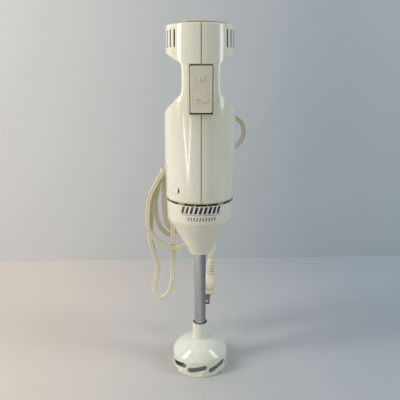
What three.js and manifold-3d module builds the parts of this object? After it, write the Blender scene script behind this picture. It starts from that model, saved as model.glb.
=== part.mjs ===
// Immersion blender with its motor, drive, switch and flat power cord.
// Millimetres, +Z up, origin on the shaft line at the foot of the blade guard, front towards -Y.
import * as THREE from 'three';
import { mergeVertices } from 'three/addons/utils/BufferGeometryUtils.js';
import Module from 'manifold-3d';

const wasm = await Module();
wasm.setup();

// ---------------------------------------------------------------- driving dimensions
const clearance = 0.3;        // gap that pieces resting on each other keep
const wall = 2.2;             // moulded wall of the housing and the motor cup

// blade guard
const guardRadius = 30.8;
const guardSkirt = 16;        // height of the upright skirt
const guardDome = 17;         // height of the dome above the skirt
const guardWall = 2;
const guardShoulder = 8;      // radius of the round shoulder over the skirt
const shoulderTurn = 42;      // degrees the shoulder turns through before the flatter top
const guardCollar = 19.3;     // height of the collar above the dome
const collarRadius = 8.7;
const collarWall = 1.05;
const collarSocket = 17;      // length of tube held in the guard
const collarRecess = 8.3;     // depth of the open ring round the tube
const slotCount = 8;
const slotLength = 22;
const slotWidth = 5.2;
const slotRise = 10.2;        // height of the slots' middles
const slotSlope = 14;         // degrees
const footNotchWidth = 6.5;
const footNotchHeight = 1.8;
const footNotchAngles = [43, 163, -63];   // degrees from the front, turning left
const slotTurn = -8;          // degrees from the front to the first slot

// shaft
const tubeRadius = 6.3;
const tubeWall = 0.8;
const tubeExposed = 84.7;     // bare tube between the collar and the motor cup
const tubeInCup = 20;
const driveShaftRadius = 2;
const shaftRoom = 2;          // between the shaft and the guard's hub
const bushingLength = 10;
const sealHeight = 4;
const tubeNutHeight = 4;
const tubeNutWall = 4.2;      // tube to the nut's corners
const bladeReach = 24;
const bladeThickness = 1.2;
const bladeWidth = 9;
const bladePitch = 12;        // degrees
const bladeHubHeight = 5;
const bladeHubRadius = 4.5;
const bladeHeight = 15;       // height of the cutting edge above the foot
const bladeNutHeight = 3.2;

// motor cup
const cupTipRadius = 11.7;
const cupTipRound = 2;
const cupCone = 37;           // height of the cone
const cupBand = 24;           // height of the upright band above the cone
const cupStep = 0.5;          // how far the cup's rim stands in from the barrel's foot
const cupDraft = 0.5;         // how much slimmer the band is at its foot
const cupShoulder = 2.2;      // how far the cone's head stands in from the band
const cupShoulderHeight = 4.5;
const cupFloorRise = 4.5;     // cup's floor above its tip
const cupHubWall = 2.4;
const cupHubHeight = 14;

// air outlet between the cup and the housing
const ventGap = 1.7;
const slitAngle = 18;         // degrees
const frontSlitPitch = 20.3;  // degrees
const sideSlitPitch = 20.2;   // degrees
const ventRingWall = 1.6;
const ventRingLap = 4.6;      // how far the ring reaches past the gap each way
const ventFlange = 1.5;

// housing
const barrelRadius = 34.9;
const barrelBulge = 0.6;
const barrelHeight = 86.7;
const shoulderHeight = 17.6;
const gripHeight = 23.7;
const gripHalfWidth = 17.8;
const gripFillet = 4;
const flareHeight = 12.3;
const headRadius = 32.4;
const headHeight = 25;
const headDraft = 0.5;
const rimRound = 1.2;
const capRadius = 27.5;
const capEdge = 1.6;          // cap's edge above the rim
const capCrown = 2.2;         // and its middle
const capThickness = 2;
const headSlits = 9;          // on each side
const headSlitPitch = 10.6;   // degrees
const headSlitWidth = 1.8;
const headSlitHeight = 15.8;
const headSlitDrop = 4.6;     // below the rim
const bossRadius = 3.6;
const screwRadius = 1.5;
const screwHeadRadius = 3.2;
const screwHeadHeight = 2;
const screwReach = 9;         // past the seam
const plugRadius = 4.1;
const plugThickness = 2.4;
const plugRecess = 0.4;
const lowerBossRise = 12.3;   // above the foot of the barrel
const lowerBossSide = 24;     // off the shaft line, front and back
const gripBossSide = 20;
const gripBossRise = 12;      // above the foot of the grip
const clampSide = 8.5;        // cord clamp's screws, off the middle plane
const clampDepth = 19;        // and behind the shaft line

// rocker switch
const rockerWidth = 19.9;
const rockerHalfHeight = 20.9;
const rockerGap = 0.4;
const rockerProud = 3;        // in front of the barrel
const rockerDish = 0.9;
const rockerThickness = 8;
const rockerTravel = 5;       // degrees each way, used for the room round the legs
const pinRadius = 1.2;
const pinDepth = 4;           // behind the rocker's face
const bezelRim = 1.8;
const bezelEnd = 0.95;
const bezelProud = 1.7;
const bezelDepth = 9;
const switchRise = 3.8;       // rocker's middle above the foot of the grip
const switchBaseDepth = 9;

// motor
const statorRadius = 25.5;
const statorHeight = 35;
const statorRise = 19.3;      // above the foot of the barrel
const boreRadius = 13.5;
const windowHalfWidth = 10;
const windowHalfDepth = 19;
const coilEnd = 6;            // height of a coil's bend past the core
const coilSplit = 2.2;        // half the gap between the two coils in a window
const coilRoom = 0.5;         // coil to the window's end
const coilWrap = 1.3;         // coil to the window's side
const coilSpread = 84;        // degrees each side that a bend reaches round the bore
const boltCircle = 22.4;
const boltRadius = 1.6;
const postRadius = 2.6;
const airGap = 0.45;
const armatureSlots = 8;
const slotHalf = 1.5;
const slotDepth = 4.5;
const motorShaftRadius = 2.5;
const commutatorRadius = 9;
const commutatorHeight = 11;
const windingEnd = 5.2;
const bearingRadius = 6;
const bearingHeight = 5;
const bracketPlate = 4;
const fanRadius = 27;
const fanHeight = 10;
const fanBlades = 8;
const couplingRadius = 7;
const couplingHeight = 18;
const brushSize = 5;
const brushLength = 9;
const brushWall = 0.8;
const springTurns = 3;

// cord and plug
const cordRadius = 1.9;       // plain round stand-in for the flat two-core cord
const reliefLength = 26;
const reliefTip = 3.6;
const reliefRoot = 5.6;
const reliefTilt = 50;        // degrees below level
const reliefDrop = 13;        // below the rim
const plugWidth = 15;
const plugBreadth = 25;
const plugBody = 20;
const plugCorner = 4;
const plugBoot = 22;
const plugBootRoot = 5.6;
const plugBootTip = 3.4;
const plugLean = 5.2;         // degrees
const prongSpacing = 12.7;
const prongWidth = 6.35;
const prongThickness = 1.5;
const prongLength = 15;
const prongHole = 1.5;        // radius
const prongHoleRise = 3.5;    // from the prong's end

// ---------------------------------------------------------------- heights that follow
const cupRadius = barrelRadius - cupStep;
const collarBase = guardSkirt + guardDome;
const collarTop = collarBase + guardCollar;
const tubeFoot = collarTop - collarRecess - collarSocket + clearance;
const cupTip = collarTop + tubeExposed;
const tubeTop = cupTip + tubeInCup;
const cupConeTop = cupTip + cupCone;
const cupTop = cupConeTop + cupBand;
const barrelFoot = cupTop + ventGap;
const barrelTop = barrelFoot + barrelHeight;
const gripFoot = barrelTop + shoulderHeight;
const gripTop = gripFoot + gripHeight;
const headFoot = gripTop + flareHeight;
const headTop = headFoot + headHeight;
const statorFoot = barrelFoot + statorRise;
const statorTop = statorFoot + statorHeight;
const switchHeight = gripFoot + switchRise;

// ---------------------------------------------------------------- tools for solids
function solid(geometry) {
  const bare = new THREE.BufferGeometry();
  bare.setAttribute('position', geometry.getAttribute('position').clone());
  if (geometry.index) bare.setIndex(geometry.index.clone());
  const merged = mergeVertices(bare, 1e-4);
  const index = merged.index.array;
  const corners = merged.getAttribute('position').array;
  const faces = [];
  for (let i = 0; i < index.length; i += 3) {
    const [a, b, c] = [index[i], index[i + 1], index[i + 2]];
    if (a !== b && b !== c && c !== a) faces.push(a, b, c);
  }
  const [a, b, c] = [new THREE.Vector3(), new THREE.Vector3(), new THREE.Vector3()];
  let volume = 0;
  for (let i = 0; i < faces.length; i += 3) {
    a.fromArray(corners, 3 * faces[i]);
    b.fromArray(corners, 3 * faces[i + 1]);
    c.fromArray(corners, 3 * faces[i + 2]);
    volume += a.dot(b.cross(c));
  }
  if (volume < 0) faces.reverse();
  return new wasm.Manifold(new wasm.Mesh({
    numProp: 3,
    vertProperties: Float32Array.from(corners),
    triVerts: Uint32Array.from(faces),
  }));
}

function surface(manifold) {
  const mesh = manifold.getMesh();
  const geometry = new THREE.BufferGeometry();
  geometry.setAttribute('position', new THREE.BufferAttribute(Float32Array.from(mesh.vertProperties), 3));
  geometry.setIndex(new THREE.BufferAttribute(Uint32Array.from(mesh.triVerts), 1));
  geometry.computeVertexNormals();
  return geometry;
}

const join = (...shapes) => surface(shapes.map(solid).reduce((whole, next) => whole.add(next)));
const cut = (body, ...tools) => surface(
  tools.map(solid).reduce((rest, tool) => rest.subtract(tool), solid(body)));
const common = (...shapes) => surface(shapes.map(solid).reduce((whole, next) => whole.intersect(next)));

// A profile of [radius, height] pairs turned about Z.
function turned(profile, segments = 32) {
  const points = profile.map(([radius, height]) => new THREE.Vector2(radius, height));
  if (profile[0][0] > 0) points.push(points[0].clone());
  return surface(solid(new THREE.LatheGeometry(points, segments).rotateX(Math.PI / 2)));
}

const ring = (inner, outer, foot, top, segments = 32) => turned(
  [[inner, foot], [outer, foot], [outer, top], [inner, top]], segments);

const disc = (radius, foot, top, segments = 24) => turned(
  [[0, foot], [radius, foot], [radius, top], [0, top]], segments);

const rod = (radius, length, segments = 16) => new THREE.CylinderGeometry(radius, radius, length, segments);

// A rod along X from one x to another at the given y and z.
const rodX = (radius, from, to, y, z, segments = 16) => rod(radius, Math.abs(to - from), segments)
  .rotateZ(Math.PI / 2).translate((from + to) / 2, y, z);

const rodZ = (radius, from, to, x, y, segments = 16) => rod(radius, to - from, segments)
  .rotateX(Math.PI / 2).translate(x, y, (from + to) / 2);

// A box from its two opposite corners.
function block([x0, y0, z0], [x1, y1, z1]) {
  return new THREE.BoxGeometry(x1 - x0, y1 - y0, z1 - z0)
    .translate((x0 + x1) / 2, (y0 + y1) / 2, (z0 + z1) / 2);
}

function outline(points) {
  return new THREE.Shape(points.map(([x, y]) => new THREE.Vector2(x, y)));
}

// A flat outline in X and Y raised along Z.
const raised = (shape, foot, top) => new THREE.ExtrudeGeometry(
  shape, { depth: top - foot, bevelEnabled: false, curveSegments: 7 }).translate(0, 0, foot);

// An outline of [x, z] pairs pushed along Y.
const pushed = (points, front, back) => raised(outline(points.map(([x, z]) => [x, -z])), front, back)
  .rotateX(-Math.PI / 2);

// An outline of [y, z] pairs pushed along X.
const sideways = (points, left, right) => raised(outline(points), left, right)
  .rotateY(Math.PI / 2).rotateX(Math.PI / 2);

const turnedTo = (geometry, degrees) => geometry.rotateZ(THREE.MathUtils.degToRad(degrees));

const root = new THREE.Group();

function add(parent, name, geometry, finish) {
  const mesh = new THREE.Mesh(geometry, new THREE.MeshStandardMaterial(finish));
  mesh.name = name;
  parent.add(mesh);
  return mesh;
}

const cream = { color: 0xe6e2cc, roughness: 0.3, metalness: 0 };
const tan = { color: 0x8f7f63, roughness: 0.4, metalness: 0 };
const white = { color: 0xeceadb, roughness: 0.3, metalness: 0 };
const black = { color: 0x151515, roughness: 0.55, metalness: 0 };
const grey = { color: 0x6b6b66, roughness: 0.5, metalness: 0 };
const rubber = { color: 0x202022, roughness: 0.8, metalness: 0 };
const chrome = { color: 0xb9bcc0, roughness: 0.15, metalness: 1 };
const steel = { color: 0x8d8f92, roughness: 0.35, metalness: 1 };
const lamination = { color: 0x55585c, roughness: 0.5, metalness: 0.9 };
const copper = { color: 0xb06a35, roughness: 0.35, metalness: 0.9 };
const brass = { color: 0xb79a55, roughness: 0.35, metalness: 1 };
const bronze = { color: 0x9a6a3c, roughness: 0.5, metalness: 0.9 };
const carbon = { color: 0x2a2a2b, roughness: 0.7, metalness: 0.1 };
const lead = { color: 0xcdbf93, roughness: 0.45, metalness: 0 };

// ---------------------------------------------------------------- blade guard
const domeProfile = (radius, shoulder, top, inner) => {
  const end = THREE.MathUtils.degToRad(shoulderTurn);
  const shoulderPoint = (turn) => [
    radius - shoulder + shoulder * Math.cos(turn),
    guardSkirt + shoulder * Math.sin(turn),
  ];
  const [endRadius, endHeight] = shoulderPoint(end);
  const run = endRadius - inner;
  const rise = top - endHeight;
  const crown = run / Math.tan(end) - rise;
  const topPoint = (share) => [
    endRadius - run * share,
    endHeight + rise * share + crown * share * (1 - share),
  ];
  return [
    ...[0, 1 / 3, 2 / 3, 1].map((share) => shoulderPoint(end * share)),
    ...[1 / 4, 1 / 2, 3 / 4, 1].map(topPoint),
  ];
};
const hubFoot = tubeFoot - clearance - sealHeight - clearance - guardWall;
const hubRadius = tubeRadius + clearance + cupHubWall;
const socketRadius = tubeRadius + clearance;
const guardBody = turned([
  [guardRadius, 0],
  ...domeProfile(guardRadius, guardShoulder, collarBase, collarRadius),
  [collarRadius, collarTop - 0.6],
  [collarRadius - 0.4, collarTop],
  [collarRadius - collarWall, collarTop],
  [collarRadius - collarWall, collarTop - collarRecess],
  [socketRadius, collarTop - collarRecess],
  [socketRadius, hubFoot + guardWall],
  [driveShaftRadius + shaftRoom, hubFoot + guardWall],
  [driveShaftRadius + shaftRoom, hubFoot],
  [hubRadius, hubFoot],
  ...domeProfile(
    guardRadius - guardWall, guardShoulder - guardWall, collarBase - guardWall, hubRadius,
  ).reverse(),
  [guardRadius - guardWall, 0],
], 36);
const slotTools = Array.from({ length: slotCount }, (_, i) => {
  const half = slotLength / 2 - slotWidth / 2;
  const shape = new THREE.Shape();
  shape.absarc(half, 0, slotWidth / 2, -Math.PI / 2, Math.PI / 2);
  shape.absarc(-half, 0, slotWidth / 2, Math.PI / 2, 1.5 * Math.PI);
  return turnedTo(
    new THREE.ExtrudeGeometry(shape, { depth: 9, bevelEnabled: false, curveSegments: 3 })
      .rotateZ(THREE.MathUtils.degToRad(slotSlope))
      .rotateX(Math.PI / 2)
      .translate(0, -(guardRadius - guardWall - 4), slotRise),
    i * (360 / slotCount) + slotTurn,
  );
});
const notchTools = footNotchAngles.map((angle) => turnedTo(
  block(
    [-footNotchWidth / 2, -guardRadius - 1, -1],
    [footNotchWidth / 2, -guardRadius + guardWall + 1, footNotchHeight],
  ),
  angle,
));
add(root, 'blade_guard', cut(guardBody, ...slotTools, ...notchTools), white);

// ---------------------------------------------------------------- shaft tube and what it holds
const tubeBore = tubeRadius - tubeWall;
add(root, 'shaft_tube', ring(tubeBore, tubeRadius, tubeFoot, tubeTop, 28), chrome);
const bushing = (foot) => ring(
  driveShaftRadius + clearance, tubeBore - clearance, foot, foot + bushingLength, 24);
add(root, 'lower_bushing', bushing(tubeFoot + 1), bronze);
add(root, 'upper_bushing', bushing(tubeTop - bushingLength - 1), bronze);
const sealFoot = hubFoot + guardWall + clearance;
add(root, 'shaft_seal', ring(
  driveShaftRadius + clearance, tubeRadius, sealFoot, sealFoot + sealHeight - clearance, 24), rubber);
const nutFoot = cupTip + cupHubHeight + clearance;
add(root, 'tube_nut', cut(
  disc(tubeRadius + tubeNutWall, nutFoot, nutFoot + tubeNutHeight, 6),
  rodZ(tubeRadius + clearance, nutFoot - 1, nutFoot + tubeNutHeight + 1, 0, 0, 32),
), steel);

// ---------------------------------------------------------------- motor cup
const coneSlope = (cupRadius - cupDraft - cupShoulder - cupTipRadius) / (cupCone - cupTipRound);
const coneSkin = wall * Math.hypot(1, coneSlope);   // the wall measured level
const cupFloor = cupTip + cupFloorRise;
const hubOuter = socketRadius + cupHubWall;
const coneRadius = (height) => cupTipRadius + coneSlope * (height - cupTip - cupTipRound);
const ventRingRadius = cupRadius - wall - 1.2;
const cupBody = turned([
  [socketRadius, cupTip],
  [cupTipRadius - cupTipRound, cupTip],
  [cupTipRadius - 0.5, cupTip + 0.6],
  [cupTipRadius, cupTip + cupTipRound],
  [cupRadius - cupDraft - cupShoulder, cupConeTop],
  [cupRadius - cupDraft - 0.6, cupConeTop + cupShoulderHeight * 0.4],
  [cupRadius - cupDraft, cupConeTop + cupShoulderHeight],
  [cupRadius, cupTop],
  [ventRingRadius + clearance, cupTop],
  [ventRingRadius + clearance, cupTop - ventRingLap - clearance],
  [cupRadius - cupDraft - wall, cupTop - ventRingLap - 2],
  [cupRadius - cupDraft - wall, cupConeTop + cupShoulderHeight],
  [coneRadius(cupConeTop) - coneSkin, cupConeTop],
  [Math.max(coneRadius(cupFloor) - coneSkin, hubOuter + 0.4), cupFloor],
  [hubOuter, cupFloor],
  [hubOuter, cupTip + cupHubHeight],
  [socketRadius, cupTip + cupHubHeight],
]);
const slitCentres = [
  ...[-1, 0, 1].flatMap((i) => [i * frontSlitPitch, 180 + i * frontSlitPitch]),
  ...[-2, -1, 0, 1, 2].flatMap((i) => [90 + i * sideSlitPitch, -90 + i * sideSlitPitch]),
];
const slitHalf = cupRadius * Math.sin(THREE.MathUtils.degToRad(slitAngle / 2));
const slitTool = (angle, half, foot, top) => turnedTo(
  block([-half, -cupRadius - 2, foot], [half, -cupRadius + wall + 4, top]), angle);
const crown = cut(
  ring(cupRadius - wall, cupRadius, cupTop - 0.5, barrelFoot - clearance),
  ...slitCentres.map((angle) => slitTool(angle, slitHalf, cupTop, barrelFoot)),
);
add(root, 'motor_cup', join(cupBody, crown), cream);

const ventRing = join(
  ring(ventRingRadius - ventRingWall, ventRingRadius, cupTop - ventRingLap, barrelFoot + ventRingLap),
  ring(ventRingRadius - 0.5, ventRingRadius + ventFlange, barrelFoot + 2.5, barrelFoot + 4.1),
);
add(root, 'vent_ring', cut(
  ventRing,
  ...slitCentres.map((angle) => slitTool(angle, slitHalf * 0.55, cupTop - 0.4, barrelFoot + 0.4)),
), black);

// ---------------------------------------------------------------- housing halves
// The shell's outside is a turned body narrowed from both sides at the grip.
function turnedOutside(skin) {
  return [
    [0, barrelFoot - (skin ? 1 : 0)],
    [barrelRadius - skin, barrelFoot - (skin ? 1 : 0)],
    [barrelRadius + barrelBulge * 0.75 - skin, barrelFoot + barrelHeight * 0.25],
    [barrelRadius + barrelBulge - skin, barrelFoot + barrelHeight * 0.5],
    [barrelRadius + barrelBulge * 0.75 - skin, barrelFoot + barrelHeight * 0.75],
    [barrelRadius - skin, barrelTop],
    [headRadius + headDraft - skin, headFoot],
    [headRadius - skin, headTop - rimRound - skin],
    [headRadius - rimRound * 0.3 - skin, headTop - rimRound * 0.3 - skin],
    [headRadius - rimRound - skin, headTop - skin],
    [0, headTop - skin],
  ];
}

function sideOutline(skin) {
  const reach = barrelRadius + 10;
  const shoulderSlope = shoulderHeight / (barrelRadius - gripHalfWidth);
  const flareSlope = (flareHeight - gripFillet) / (headRadius + headDraft - gripHalfWidth - gripFillet * 0.6);
  const shoulderSkin = skin * Math.hypot(1, shoulderSlope);
  const flareSkin = skin * Math.hypot(1, flareSlope);
  const half = gripHalfWidth - skin;
  const right = [
    [reach, barrelFoot - 5],
    [reach, barrelTop - (reach - barrelRadius) * shoulderSlope - shoulderSkin],
    [half + gripFillet * 0.5, gripFoot - gripFillet * 0.5 * shoulderSlope - shoulderSkin],
    [half, gripFoot + gripFillet - shoulderSkin],
    [half, gripTop - gripFillet + flareSkin],
    [half + gripFillet * 0.2, gripTop + flareSkin],
    [half + gripFillet * 0.6, gripTop + gripFillet + flareSkin],
    [reach, headFoot + (reach - headRadius - headDraft) * flareSlope + flareSkin],
    [reach, headTop + 5],
  ];
  return [...right, ...right.map(([x, z]) => [-x, z]).reverse()];
}

const body = (skin) => common(
  turned(turnedOutside(skin)),
  pushed(sideOutline(skin), -barrelRadius - 10, barrelRadius + 10),
);
const outside = body(0);
const inside = body(wall);
const bigBox = (x0, x1) => block([x0, -100, barrelFoot - 20], [x1, 100, headTop + 20]);

// Switch opening, cord opening, head slits and the seat of the cap.
const openingHalfWidth = rockerWidth / 2 + rockerGap + 1.1;
const bezelHalfHeight = rockerHalfHeight + rockerGap + bezelEnd;
const openingHalfHeight = bezelHalfHeight - 0.25;
const opening = block(
  [-openingHalfWidth, -60, switchHeight - openingHalfHeight],
  [openingHalfWidth, -barrelRadius / 2, switchHeight + openingHalfHeight],
);
const tilt = THREE.MathUtils.degToRad(reliefTilt);
const reliefOut = new THREE.Vector3(0, Math.cos(tilt), -Math.sin(tilt));
const reliefSeat = new THREE.Vector3(0, headRadius, headTop - reliefDrop);
const alongRelief = (geometry, distance) => geometry
  .rotateX(-tilt)
  .translate(...reliefSeat.clone().addScaledVector(reliefOut, distance).toArray());
const reliefNeck = reliefRoot - 1.4;
const cordOpening = alongRelief(rod(reliefNeck + clearance, 30), 0);
const headSlitTools = [-90, 90].flatMap((side) => Array.from({ length: headSlits }, (_, i) => turnedTo(
  block(
    [-headSlitWidth / 2, -headRadius - 3, headTop - headSlitDrop - headSlitHeight],
    [headSlitWidth / 2, -headRadius + wall + 3, headTop - headSlitDrop],
  ),
  side + (i - (headSlits - 1) / 2) * headSlitPitch,
)));
const capSeat = disc(capRadius + clearance, headTop - capThickness + 1, headTop + 5, 36);
const capHole = disc(capRadius - 3, headTop - 10, headTop + 5, 36);

// Screw bosses run across the seam, one for each housing screw.
const bosses = [
  ['front', -lowerBossSide, barrelFoot + lowerBossRise],
  ['rear', lowerBossSide, barrelFoot + lowerBossRise],
  ['grip', gripBossSide, gripFoot + gripBossRise],
];
const flank = (y, z) => (z > barrelTop ? gripHalfWidth : Math.sqrt(barrelRadius ** 2 - y ** 2));
const headLedge = (y, z) => flank(y, z) - plugThickness - plugRecess - 7;
const upperBearingFoot = statorTop + windingEnd + commutatorHeight + 8;
const saddleFoot = upperBearingFoot + 2.6;
const isolatorRadius = bearingRadius + 5;
const lowerBearingFoot = statorFoot - windingEnd - bearingHeight - 3;
const footRestTop = lowerBearingFoot + bracketPlate;
const isolatorHalf = 5;
const isolatorDepth = 3;
const barReach = statorRadius + 0.5;

function housingHalf(side) {
  const near = side * clearance / 2;
  const far = side * 60;
  const half = bigBox(Math.min(near, far), Math.max(near, far));
  const walls = cut(outside, inside);
  const pillars = bosses.map(([, y, z]) => rodX(bossRadius, near, side * 40, y, z));
  const collars = side < 0 ? bosses.map(([, y, z]) => rodX(
    plugRadius + 1.3, -headLedge(y, z), -40, y, z, 24)) : [];
  const grooves = [
    ring(ventRingRadius + clearance, barrelRadius - 1, barrelFoot + 1, barrelFoot + 2.2),
    ring(ventRingRadius + clearance, barrelRadius - 1, barrelFoot + 4.4, barrelFoot + 5.6),
  ];
  const saddle = ring(isolatorRadius + clearance, barrelRadius - 1, saddleFoot, saddleFoot + 3);
  const restInner = barReach + clearance + isolatorDepth;
  const restWall = side * (restInner + clearance);
  const rest = block(
    [Math.min(restWall, far), -isolatorHalf - 2, lowerBearingFoot - 1],
    [Math.max(restWall, far), isolatorHalf + 2, footRestTop + 1],
  );
  const clampPost = block(
    [side > 0 ? clampSide - 3.5 : -clampSide - 3.5, clampDepth - 4.5, gripTop + 3],
    [side > 0 ? clampSide + 3.5 : -clampSide + 3.5, 60, gripTop + 10],
  );
  const inner = common(join(...pillars, ...collars, ...grooves, saddle, rest, clampPost), outside);
  const holes = bosses.map(([, y, z]) => (side < 0
    ? rodX(screwRadius + clearance, -60, 5, y, z)
    : rodX(screwRadius + clearance, -5, screwReach + 1, y, z)));
  const counterbores = side < 0 ? bosses.map(([, y, z]) => rodX(
    plugRadius + clearance / 2, -headLedge(y, z) - 1.2, -60, y, z, 24)) : [];
  const clampHole = rodZ(
    screwRadius + clearance, gripTop + 1, gripTop + 12, side * clampSide, clampDepth, 16);
  return cut(
    common(join(walls, inner), half),
    opening, cordOpening, capSeat, capHole, clampHole,
    ...headSlitTools, ...holes, ...counterbores,
  );
}
add(root, 'housing_left', housingHalf(-1), cream);
add(root, 'housing_right', housingHalf(1), cream);

// ---------------------------------------------------------------- cap in the head
const capFoot = headTop - capThickness + 1 + clearance;
add(root, 'head_cap', turned([
  [0, capFoot],
  [capRadius - 3 - clearance - 1.6, capFoot],
  [capRadius - 3 - clearance - 1.6, capFoot - 4],
  [capRadius - 3 - clearance, capFoot - 4],
  [capRadius - 3 - clearance, capFoot],
  [capRadius, capFoot],
  [capRadius, headTop + capEdge - 0.6],
  [capRadius - 0.6, headTop + capEdge],
  [capRadius * 0.5, headTop + capCrown * 0.95],
  [0, headTop + capCrown],
]), tan);

// ---------------------------------------------------------------- housing screws and their plugs
for (const [place, y, z] of bosses) {
  const ledge = -headLedge(y, z) - 1.2;
  add(root, `housing_screw_${place}`, join(
    rodX(screwHeadRadius, ledge - clearance - screwHeadHeight, ledge - clearance, y, z, 16),
    rodX(screwRadius, ledge - clearance - 1, screwReach, y, z, 12),
  ), steel);
  const face = -flank(y, z) + plugRecess;
  const reachIn = face + plugThickness;
  const plug = rodX(plugRadius - clearance / 2, face - 4, reachIn, y, z, 24);
  add(root, `screw_plug_${place}`, common(plug, body(plugRecess)), cream);
}

// ---------------------------------------------------------------- rocker switch
const faceY = -(barrelRadius + rockerProud);
const pinY = faceY + pinDepth;
const bezelFront = -(barrelRadius + bezelProud);
const bezelHalfWidth = rockerWidth / 2 + rockerGap + bezelRim;
const rockerGroup = new THREE.Group();
rockerGroup.position.set(0, pinY, switchHeight);
root.add(rockerGroup);

const endCurve = (sign) => Array.from({ length: 6 }, (_, i) => {
  const y = THREE.MathUtils.lerp(-pinDepth, rockerThickness - pinDepth, i / 5);
  return [y, sign * Math.sqrt(rockerHalfHeight ** 2 - y ** 2)];
});
const rockerProfile = [
  [-pinDepth + rockerDish, 0],
  ...endCurve(-1),
  [rockerThickness - pinDepth, 0],
  ...endCurve(1).reverse(),
];
const legHeight = 9;
const legReach = 2.4;
const legRoom = (legHeight + 1.5) * Math.sin(THREE.MathUtils.degToRad(rockerTravel)) + clearance;
const leg = (z) => block(
  [-4, rockerThickness - pinDepth - 1, z - 1.5],
  [4, rockerThickness - pinDepth + legReach, z + 1.5],
);
add(rockerGroup, 'rocker_switch', cut(
  join(sideways(rockerProfile, -rockerWidth / 2, rockerWidth / 2), leg(legHeight), leg(-legHeight)),
  rodX(pinRadius + clearance, -30, 30, 0, 0, 16),
), cream);

const pinHalf = openingHalfWidth - clearance - 0.2;
add(root, 'rocker_pin', rodX(pinRadius, -pinHalf, pinHalf, pinY, switchHeight, 16), steel);

const sleeveHalfWidth = openingHalfWidth - clearance;
const sleeveHalfHeight = openingHalfHeight - clearance;
const bezelBlock = block(
  [-bezelHalfWidth, bezelFront, switchHeight - bezelHalfHeight],
  [bezelHalfWidth, bezelFront + bezelDepth, switchHeight + bezelHalfHeight],
);
const rockerRoom = block(
  [-rockerWidth / 2 - rockerGap, bezelFront - 5, switchHeight - rockerHalfHeight - rockerGap],
  [rockerWidth / 2 + rockerGap, bezelFront + bezelDepth + 5, switchHeight + rockerHalfHeight + rockerGap],
);
const sleeveRoom = block(
  [-sleeveHalfWidth, -80, switchHeight - sleeveHalfHeight],
  [sleeveHalfWidth, 0, switchHeight + sleeveHalfHeight],
);
add(root, 'switch_bezel', cut(
  bezelBlock,
  cut(body(-clearance / 2), sleeveRoom),
  rockerRoom,
  rodX(pinRadius + clearance, -30, 30, pinY, switchHeight, 16),
), grey);

// Base with a raised fulcrum that carries the rocking contact leaf.
const leafGap = 1.5;
const leafThickness = 0.6;
const baseFront = pinY + rockerThickness - pinDepth + legReach + legRoom + leafThickness + leafGap;
const baseBack = baseFront + switchBaseDepth;
add(root, 'switch_base', join(
  block([-9, baseFront, switchHeight - 15], [9, baseBack, switchHeight + 15]),
  block([-3, baseFront - leafGap + clearance, switchHeight - 1], [3, baseFront + 1, switchHeight + 1]),
), black);
add(root, 'contact_leaf', sideways([
  [baseFront - leafGap, -13], [baseFront - leafGap - leafThickness, -13],
  [baseFront - leafGap - leafThickness, 13], [baseFront - leafGap, 13],
].map(([y, z]) => [y, z + switchHeight]), -4.5, 4.5), brass);
add(root, 'speed_diode', rodZ(1.7, switchHeight - 4, switchHeight + 3, 11.4, baseBack - 4, 16), black);

// ---------------------------------------------------------------- stator and brackets
const statorShape = new THREE.Shape();
statorShape.absarc(0, 0, statorRadius, 0, 2 * Math.PI);
const poleAngle = Math.acos(windowHalfWidth / boreRadius);
const boreShape = new THREE.Path();
boreShape.absarc(0, 0, boreRadius, -poleAngle, poleAngle);
boreShape.lineTo(windowHalfWidth, windowHalfDepth);
boreShape.lineTo(-windowHalfWidth, windowHalfDepth);
boreShape.absarc(0, 0, boreRadius, Math.PI - poleAngle, Math.PI + poleAngle);
boreShape.lineTo(-windowHalfWidth, -windowHalfDepth);
boreShape.lineTo(windowHalfWidth, -windowHalfDepth);
statorShape.holes.push(boreShape);
const boltSides = [-1, 1];
const boltRoom = (radius, from, to) => boltSides.map(
  (side) => rodZ(radius, from, to, side * boltCircle, 0, 10));
add(root, 'stator_core', cut(
  raised(statorShape, statorFoot, statorTop),
  ...boltRoom(boltRadius + clearance, statorFoot - 1, statorTop + 1),
), lamination);

// Each coil runs down one window, round the pole and back up the other.
function fieldCoil(side) {
  const inner = boreRadius + 0.7;
  const outer = boltCircle - postRadius - 0.4;
  const spread = THREE.MathUtils.degToRad(coilSpread);
  const bend = (foot, top) => {
    const shape = new THREE.Shape();
    shape.absarc(0, 0, outer, -spread, spread);
    shape.absarc(0, 0, inner, spread, -spread, true);
    return raised(shape, foot, top);
  };
  const run = (sign) => block(
    [coilSplit, sign > 0 ? inner : -windowHalfDepth + coilRoom, statorFoot - 2],
    [windowHalfWidth - coilWrap, sign > 0 ? windowHalfDepth - coilRoom : -inner, statorTop + 2],
  );
  const coil = join(
    bend(statorFoot - clearance - coilEnd, statorFoot - clearance),
    bend(statorTop + clearance, statorTop + clearance + coilEnd),
    run(1),
    run(-1),
  );
  return side > 0 ? coil : coil.rotateZ(Math.PI);
}
add(root, 'field_coil_left', fieldCoil(-1), copper);
add(root, 'field_coil_right', fieldCoil(1), copper);

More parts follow.
